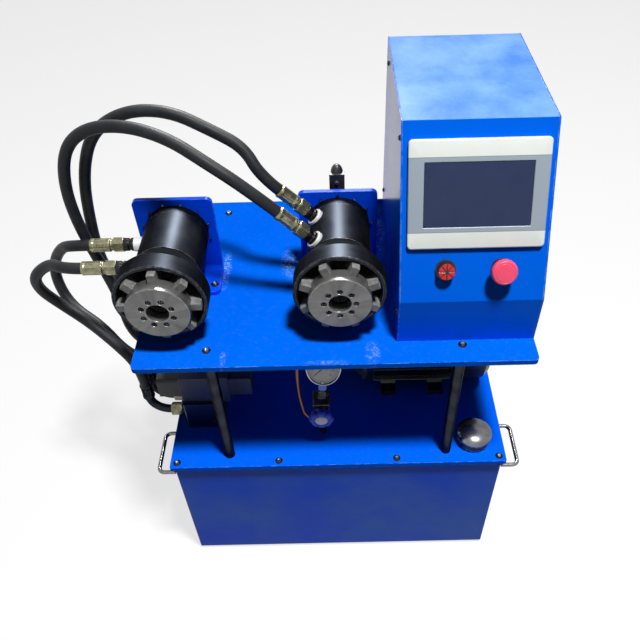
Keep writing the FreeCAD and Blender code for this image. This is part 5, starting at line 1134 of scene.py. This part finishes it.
class CRIMPER_OT_gauge(bpy.types.Operator):
    """Pressure gauge with its dial, glass and needle"""
    bl_idname = "crimper.gauge"
    bl_label = "Pressure gauge"

    def execute(self, context):
        gauge = settings().gauge
        wide = gauge.diameter / 2.0
        chrome = moulded("Gauge chrome", (0.46, 0.47, 0.48, 1.0), (0.32, 0.33, 0.34, 1.0), 0.16,
                         200.0, 0.00001, 30.0, 1.0)
        case = eased([(0.0, -0.017), (wide - 0.002, -0.017), (wide - 0.002, 0.006),
                      (wide, 0.007), (wide, 0.0105), (wide - 0.0014, 0.012),
                      (wide - 0.0030, 0.0112), (wide - 0.0030, 0.003), (0.0, 0.003)], 0.0009, 5)
        middle = gauge_place(0.070)
        skin = Skin().add(turned(case, 96), middle)
        stem = [(0.0, 0.025), (0.006, 0.025), (0.006, 0.043), (0.0, 0.043)]
        along = gauge_place() @ Matrix.Rotation(-math.pi / 2, 4, "X")
        skin.add(turned(stem, 32), along)
        skin.add(hexagon_nut(0.0150, 0.0120), along @ Matrix.Translation((0, 0, 0.0265)), 1)
        blued = moulded("Nut blue", (0.06, 0.13, 0.55, 1.0), (0.12, 0.20, 0.60, 1.0), 0.3, 300.0,
                        0.00002, 60.0, 0.5, 0.8, (0.6, 0.7, 0.9, 1.0))
        skin.piece("gauge_case", [chrome, blued], "frame", "chrome", ["pressure_gauge"])
        self.dial(gauge, middle, wide)
        glass, tree, inputs, vector = new_material("Gauge glass", Transmission_Weight=1.0,
                                                   IOR=1.45)
        connect(tree, inputs, Roughness=spread(tree, noise(tree, vector, 60.0), 0.3, 0.7,
                                               0.01, 0.05))
        pane = eased([(0.0, 0.0085), (wide - 0.0033, 0.0085), (wide - 0.0033, 0.0105),
                      (0.0, 0.0109)], 0.0004)
        Skin().add(turned(pane, 64), middle).piece("gauge_glass", [glass], "frame",
                                                   "screen_glass", ["pressure_gauge"])
        dress(moulded("Needle black", grey(0.01), grey(0.02), 0.4), "gauge_needle")
        return {"FINISHED"}

    def dial(self, gauge, middle, wide):
        """Disc with ticks every fortieth of three quarter turns and numbers at every eighth; its
        white is darkened to grey as painted shade. The scale starts at the lower left and runs
        clockwise."""
        white = moulded("Dial white darkened as shade", gauge.dial, (0.38, 0.39, 0.39, 1.0), 0.5, 300.0, 0.00001)
        ink = moulded("Dial black", grey(0.01), grey(0.02), 0.5)
        top = 0.00306
        skin = Skin()
        skin.add(turned([(0.0, 0.0030), (wide - 0.0034, 0.0030), (wide - 0.0034, top),
                         (0.0, top)], 96), middle, 0)
        box = np.array([[(-1, 0, 0), (1, 0, 0), (1, 1, 0), (-1, 1, 0), (-1, 0, 0)],
                        [(-1, 0, 1), (1, 0, 1), (1, 1, 1), (-1, 1, 1), (-1, 0, 1)]], float)
        lid = np.array([[(-1, 0, 1), (1, 0, 1)], [(-1, 1, 1), (1, 1, 1)]], float)
        for number in range(41):
            half, long = (0.00030, -0.0040) if number % 5 == 0 else (0.00016, -0.0022)
            size = np.array([half, long, 0.00012])
            turn = (middle @ Matrix.Rotation(math.radians(135.0 - 6.75 * number), 4, "Z")
                    @ Matrix.Translation((0.0, wide - 0.0060, top)))
            skin.add(box * size, turn, 1)
            skin.add(lid * size, turn, 1)
        skin.piece("gauge_dial", [white, ink], "frame", "chrome", ["pressure_gauge"])
        gathered = bmesh.new()
        for mark in range(9):
            angle = math.radians(225.0 - 33.75 * mark)
            text = bpy.data.curves.new("dial_number", "FONT")
            text.body = str(round(gauge.full_scale * mark / 8))
            text.size = 0.0058
            text.align_x, text.align_y = "CENTER", "CENTER"
            text.extrude = 0.00006
            label = put("dial_number", text)
            bpy.context.view_layer.update()
            mesh = bpy.data.meshes.new_from_object(
                label.evaluated_get(bpy.context.evaluated_depsgraph_get()))
            mesh.transform(middle @ Matrix.Translation(
                (0.0190 * math.cos(angle), 0.0190 * math.sin(angle), top + 0.00006)))
            bpy.data.objects.remove(label)
            gathered.from_mesh(mesh)
        joined = bpy.data.meshes.new("dial_numbers")
        gathered.to_mesh(joined)
        gathered.free()
        joined.materials.clear()
        joined.materials.append(ink)
        piece = put("dial_numbers", joined)
        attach(piece, "frame")
        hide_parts("pressure_gauge")


class CRIMPER_OT_handwheel(bpy.types.Operator):
    """Lobed handwheel, its white cap, the valve block and the copper pipe"""
    bl_idname = "crimper.handwheel"
    bl_label = "Gauge valve"

    def execute(self, context):
        gauge = settings().gauge
        blue = moulded("Handwheel blue", gauge.wheel_blue, (0.006, 0.055, 0.80, 1.0), 0.34, 500.0,
                       0.00004, 60.0, wear=0.3, worn=(0.3, 0.4, 1.0, 1.0), level=0.3)
        white = moulded("Cap white", (0.92, 0.92, 0.93, 1.0), (0.82, 0.83, 0.85, 1.0), 0.4)
        # Dark blue for the painted shade below the rim's dips.
        dark = moulded("Wheel dip shade", (0.004, 0.008, 0.06, 1.0), (0.006, 0.012, 0.08, 1.0), 0.5)
        place = (Matrix.Translation((GAUGE_X, -0.163, GAUGE_LEVEL))
                 @ Matrix.Rotation(math.pi / 2, 4, "X"))
        wide = gauge.wheel / 2.0

        def lobes(angles):
            """Eight lobes: the radius dips by an eighth between them, as a raised cosine cubed."""
            return 1.0 - 0.125 * ((1.0 - np.cos(8.0 * angles)) / 2.0) ** 3
        profile = eased([(0.0, 0.0), (wide - 0.002, 0.0), (wide, 0.002), (wide, 0.0085),
                         (wide - 0.003, 0.0115), (0.0170, 0.0118), (0.0140, 0.0120),
                         (0.0128, 0.0104), (0.0, 0.0104)], 0.0014, 5)
        share = np.clip((profile[:, 0] - 0.0125) / 0.004, 0.0, 1.0)
        skin = Skin().add(turned(profile, 192, lobes, share), place, 0)
        cap = eased([(0.0, 0.0100), (0.0117, 0.0100), (0.0117, 0.0112), (0.0102, 0.0119),
                     (0.0060, 0.0119), (0.0052, 0.0112), (0.0026, 0.0112), (0.0018, 0.0119),
                     (0.0, 0.0120)], 0.0005)
        skin.add(turned(cap, 64), place, 1)
        piece = skin.piece("handwheel_lobed", [blue, white, dark], "handwheel", "blue_plastic",
                           ["valve_handwheel"], sharp=45.0)
        self.notches(piece, place)
        dress(self.valve_finish(gauge), "gauge_valve")
        return {"FINISHED"}

    def notches(self, piece, place):
        """Eight short marks of painted shade round the cap, one below each dip of the rim."""
        faces = piece.data.polygons
        index = np.empty(len(faces), np.int32)
        faces.foreach_get("material_index", index)
        out, radius, angle = face_places(piece, place)
        beside = np.abs(angle % (np.pi / 4) - np.pi / 8) * radius
        index[(out > 0.010) & (radius > 0.0133) & (radius < 0.0176) & (beside < 0.0010)] = 2
        faces.foreach_set("material_index", index)

    def valve_finish(self, gauge):
        """Dark steel on the valve block, copper on the pipe that leaves it to the left."""
        tree, inputs, before, vector = finished(moulded(
            "Valve steel", (0.018, 0.020, 0.026, 1.0), (0.05, 0.052, 0.06, 1.0), 0.36, 400.0,
            0.00005, 60.0, 0.9, 1.0, grey(0.7)))
        split = parts(tree, vector)
        outer = spread(tree, split["X"], -0.0444, -0.0450)
        lower = times(tree, spread(tree, split["X"], -0.0366, -0.0372),
                      spread(tree, split["Z"], 0.3723, 0.3717))
        pipe = math_node(tree, "MAXIMUM", outer, lower)
        connect(tree, inputs, Base_Color=blend_color(tree, pipe, before, gauge.copper))
        return FINISHES["Valve steel"]


class CRIMPER_OT_filler(bpy.types.Operator):
    """Chromed mushroom cap of the oil filler and its neck"""
    bl_idname = "crimper.filler"
    bl_label = "Oil filler"

    def execute(self, context):
        chrome = moulded("Filler chrome", (0.24, 0.24, 0.26, 1.0), (0.12, 0.12, 0.135, 1.0), 0.27,
                         300.0, 0.00002, 40.0, 1.0)
        place = Matrix.Translation((0.2595, -0.163, PLATE_TOP + 0.006))
        wide = 0.0335
        climb = np.linspace(0.0, np.pi / 2, 12)
        dome = np.column_stack([wide * np.cos(climb), 0.0170 + 0.0150 * np.sin(climb)])
        dome[-1] = (0.0, 0.032)
        low = eased([(0.0, -0.008), (0.0167, -0.008), (0.0167, 0.0), (0.025, 0.0),
                     (0.025, 0.009), (0.0320, 0.0105), (wide, 0.0120), (wide, 0.0165)], 0.0012)
        profile = np.vstack([low, dome])

        def grips(angles):
            """Twenty shallow scallops round the skirt."""
            return 1.0 - 0.045 * np.abs(np.sin(10.0 * angles)) ** 6
        share = ((profile[:, 1] > 0.0098) & (profile[:, 1] < 0.0168)).astype(float)
        skin = Skin().add(turned(profile, 160, grips, share), place)
        skin.piece("filler_mushroom", [chrome], "oil_cap", "chrome", ["filler_cap"], sharp=40.0)
        dress(chrome, "filler_neck")
        dress(moulded("Handle chrome", (0.30, 0.30, 0.31, 1.0), (0.10, 0.10, 0.11, 1.0), 0.18,
                      300.0, 0.00002, 70.0, 1.0), "tank_handles")
        return {"FINISHED"}


class CRIMPER_OT_screws(bpy.types.Operator):
    """Button screws on plates, brackets and side covers"""
    bl_idname = "crimper.screws"
    bl_label = "Button screws"

    def execute(self, context):
        black = FINISHES["Left black oxide"]
        bright = FINISHES["Bright zinc"]
        head = button_head(0.014, 0.0046, 0.0058)
        spots = [(x, y, PLATE_TOP) for x in (-0.3035, -0.111, 0.111, 0.3035)
                 for y in (-0.201, 0.201)]
        spots += [(x, y, DECK_TOP) for x in (-0.2045, 0.2045) for y in (-0.184, 0.184)]
        for side, left in (("left", 0.040), ("right", 0.0555)):
            across, depth = HEADS[side]["x"], HEADS[side]["face"] - 0.042
            spots += [(across - left, depth, DECK_TOP + 0.008),
                      (across + 0.0555, depth, DECK_TOP + 0.008)]
        skin = Skin()
        for spot in spots:
            skin.add(head[:3], Matrix.Translation(spot), 1)
            skin.add(head[2:], Matrix.Translation(spot))
        skin.piece("plate_screws", [black, bright], "frame", "black_oxide", ["button_screws"])
        cover = Skin()
        small = button_head(0.0085, 0.0032, 0.0030)
        for depth, level in ((0.170, 0.924), (-0.066, 0.924), (0.187, 0.666), (-0.150, 0.666)):
            cover.add(small, standing((BOX_LOW.x - 0.0019, depth, level), (-1, 0, 0)))
            cover.add(small, standing((BOX_HIGH.x + 0.0019, depth, level), (1, 0, 0)))
        cover.piece("cover_screws", [black], "frame", "black_oxide")
        return {"FINISHED"}


class CRIMPER_OT_drive(bpy.types.Operator):
    """Motor, pump, valves, pillars and sensor under and behind the deck"""
    bl_idname = "crimper.drive"
    bl_label = "Drive"

    def execute(self, context):
        dress(machined("Pillar steel", (0.018, 0.020, 0.026, 1.0), (0.045, 0.048, 0.058, 1.0),
                       0.30, None, 30.0, 0.000006, 0.3, metallic=0.9), "deck_pillars")
        dress(moulded("Motor enamel", (0.005, 0.006, 0.011, 1.0), (0.010, 0.012, 0.02, 1.0),
                      0.34, 500.0, 0.00008, 14.0, wear=0.8, worn=(0.4, 0.4, 0.42, 1.0)),
              "electric_motor", "fan_cowl")
        dress(moulded("Pump casting", (0.06, 0.06, 0.065, 1.0), (0.10, 0.10, 0.105, 1.0), 0.5,
                      260.0, 0.0003, 20.0, 0.6, 0.5), "oil_pump")
        dress(self.valve_finish(), "directional_valves")
        plastic = moulded("Black plastic", (0.014, 0.014, 0.015, 1.0), (0.03, 0.03, 0.032, 1.0),
                          0.4, 600.0, 0.00006, 40.0, wear=0.4)
        dress(plastic, "motor_fan")
        self.sensor(plastic)
        return {"FINISHED"}

    def sensor(self, plastic):
        """Stroke sensor: an arm, a square block and behind it a body whose radius falls to its
        tip as R sqrt(1 - t ** 2.2)."""
        low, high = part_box("stroke_sensor")
        middle = (low.x + high.x) / 2.0
        half = (high.x - low.x) / 2.0

        def block(front, back, bottom, top, corner):
            rows = [tip(bottom), (half, (back - front) / 2.0, corner, bottom),
                    (half, (back - front) / 2.0, corner, top), tip(top)]
            return framed_plate(rows, 4), Matrix.Translation((middle, (front + back) / 2.0, 0.0))
        foot = low.z + 0.006
        climb = np.linspace(0.0, 1.0, 24)
        height = foot + 0.036 + (high.z - 0.002 - foot - 0.036) * climb
        radius = 0.0105 * np.sqrt(1.0 - climb ** 2.2)
        body = np.vstack([[(0.0, foot), (0.0105, foot)], np.column_stack([radius, height])])
        skin = Skin()
        skin.add(*block(low.y, high.y, low.z, foot, 0.001))
        skin.add(*block(low.y + 0.018, low.y + 0.028, foot - 0.001, foot + 0.041, 0.001))
        skin.add(turned(body, 48), Matrix.Translation((middle, high.y - 0.0118, 0.0)))
        skin.add(hexagon_nut(0.0060, 0.0030),
                 standing((middle, low.y + 0.0182, foot + 0.026), (0, -1, 0)), 1)
        skin.piece("stroke_sensor_body", [plastic, FINISHES["Bright zinc"]], "frame",
                   "black_plastic", ["stroke_sensor"])

    def valve_finish(self):
        """Navy enamel on the valve bodies and dark moulding on the solenoids left of them."""
        tree, inputs, before, vector = finished(moulded(
            "Valve enamel", (0.004, 0.009, 0.045, 1.0), (0.007, 0.014, 0.07, 1.0), 0.42, 400.0,
            0.0001, 25.0, wear=0.5, level=0.3))
        coil = spread(tree, parts(tree, vector)["X"], VALVE_LEFT + 0.0003, VALVE_LEFT - 0.0003)
        connect(tree, inputs, Base_Color=blend_color(tree, coil, before,
                                                     (0.018, 0.019, 0.022, 1.0)))
        return FINISHES["Valve enamel"]


OPERATORS = (CRIMPER_OT_stage, CRIMPER_OT_paintwork, CRIMPER_OT_heads, CRIMPER_OT_hoses,
             CRIMPER_OT_panel, CRIMPER_OT_lamp, CRIMPER_OT_stop_button, CRIMPER_OT_gauge,
             CRIMPER_OT_handwheel, CRIMPER_OT_filler, CRIMPER_OT_screws, CRIMPER_OT_drive)


class CRIMPER_PT_machine(bpy.types.Panel):
    """Pieces of the crimping machine and their settings"""
    bl_idname = "CRIMPER_PT_machine"
    bl_label = "Pipe crimping machine"
    bl_space_type = "VIEW_3D"
    bl_region_type = "UI"
    bl_category = "Crimping machine"

    def draw(self, context):
        machine = context.scene.crimping_machine
        for title in ("paint", "hose", "panel", "gauge", "stage"):
            group = getattr(machine, title)
            box = self.layout.box()
            box.label(text=title.title())
            for key in group.__annotations__:
                box.prop(group, key)
        for operator in OPERATORS:
            self.layout.operator(operator.bl_idname)


CLASSES = (CRIMPER_PG_paint, CRIMPER_PG_hose, CRIMPER_PG_panel, CRIMPER_PG_gauge,
           CRIMPER_PG_stage, CRIMPER_PG_machine) + OPERATORS + (CRIMPER_PT_machine,)


def register():
    for item in CLASSES:
        bpy.utils.register_class(item)
    bpy.types.Scene.crimping_machine = bpy.props.PointerProperty(
        type=CRIMPER_PG_machine, name="Crimping machine", description="Settings of the machine")


def unregister():
    del bpy.types.Scene.crimping_machine
    for item in reversed(CLASSES):
        bpy.utils.unregister_class(item)


def main():
    register()
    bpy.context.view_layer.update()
    bpy.context.scene.view_settings.view_transform = "Standard"
    build_effects()
    for operator in OPERATORS:
        family, name = operator.bl_idname.split(".")
        getattr(getattr(bpy.ops, family), name)()


if __name__ == "__main__":
    main()
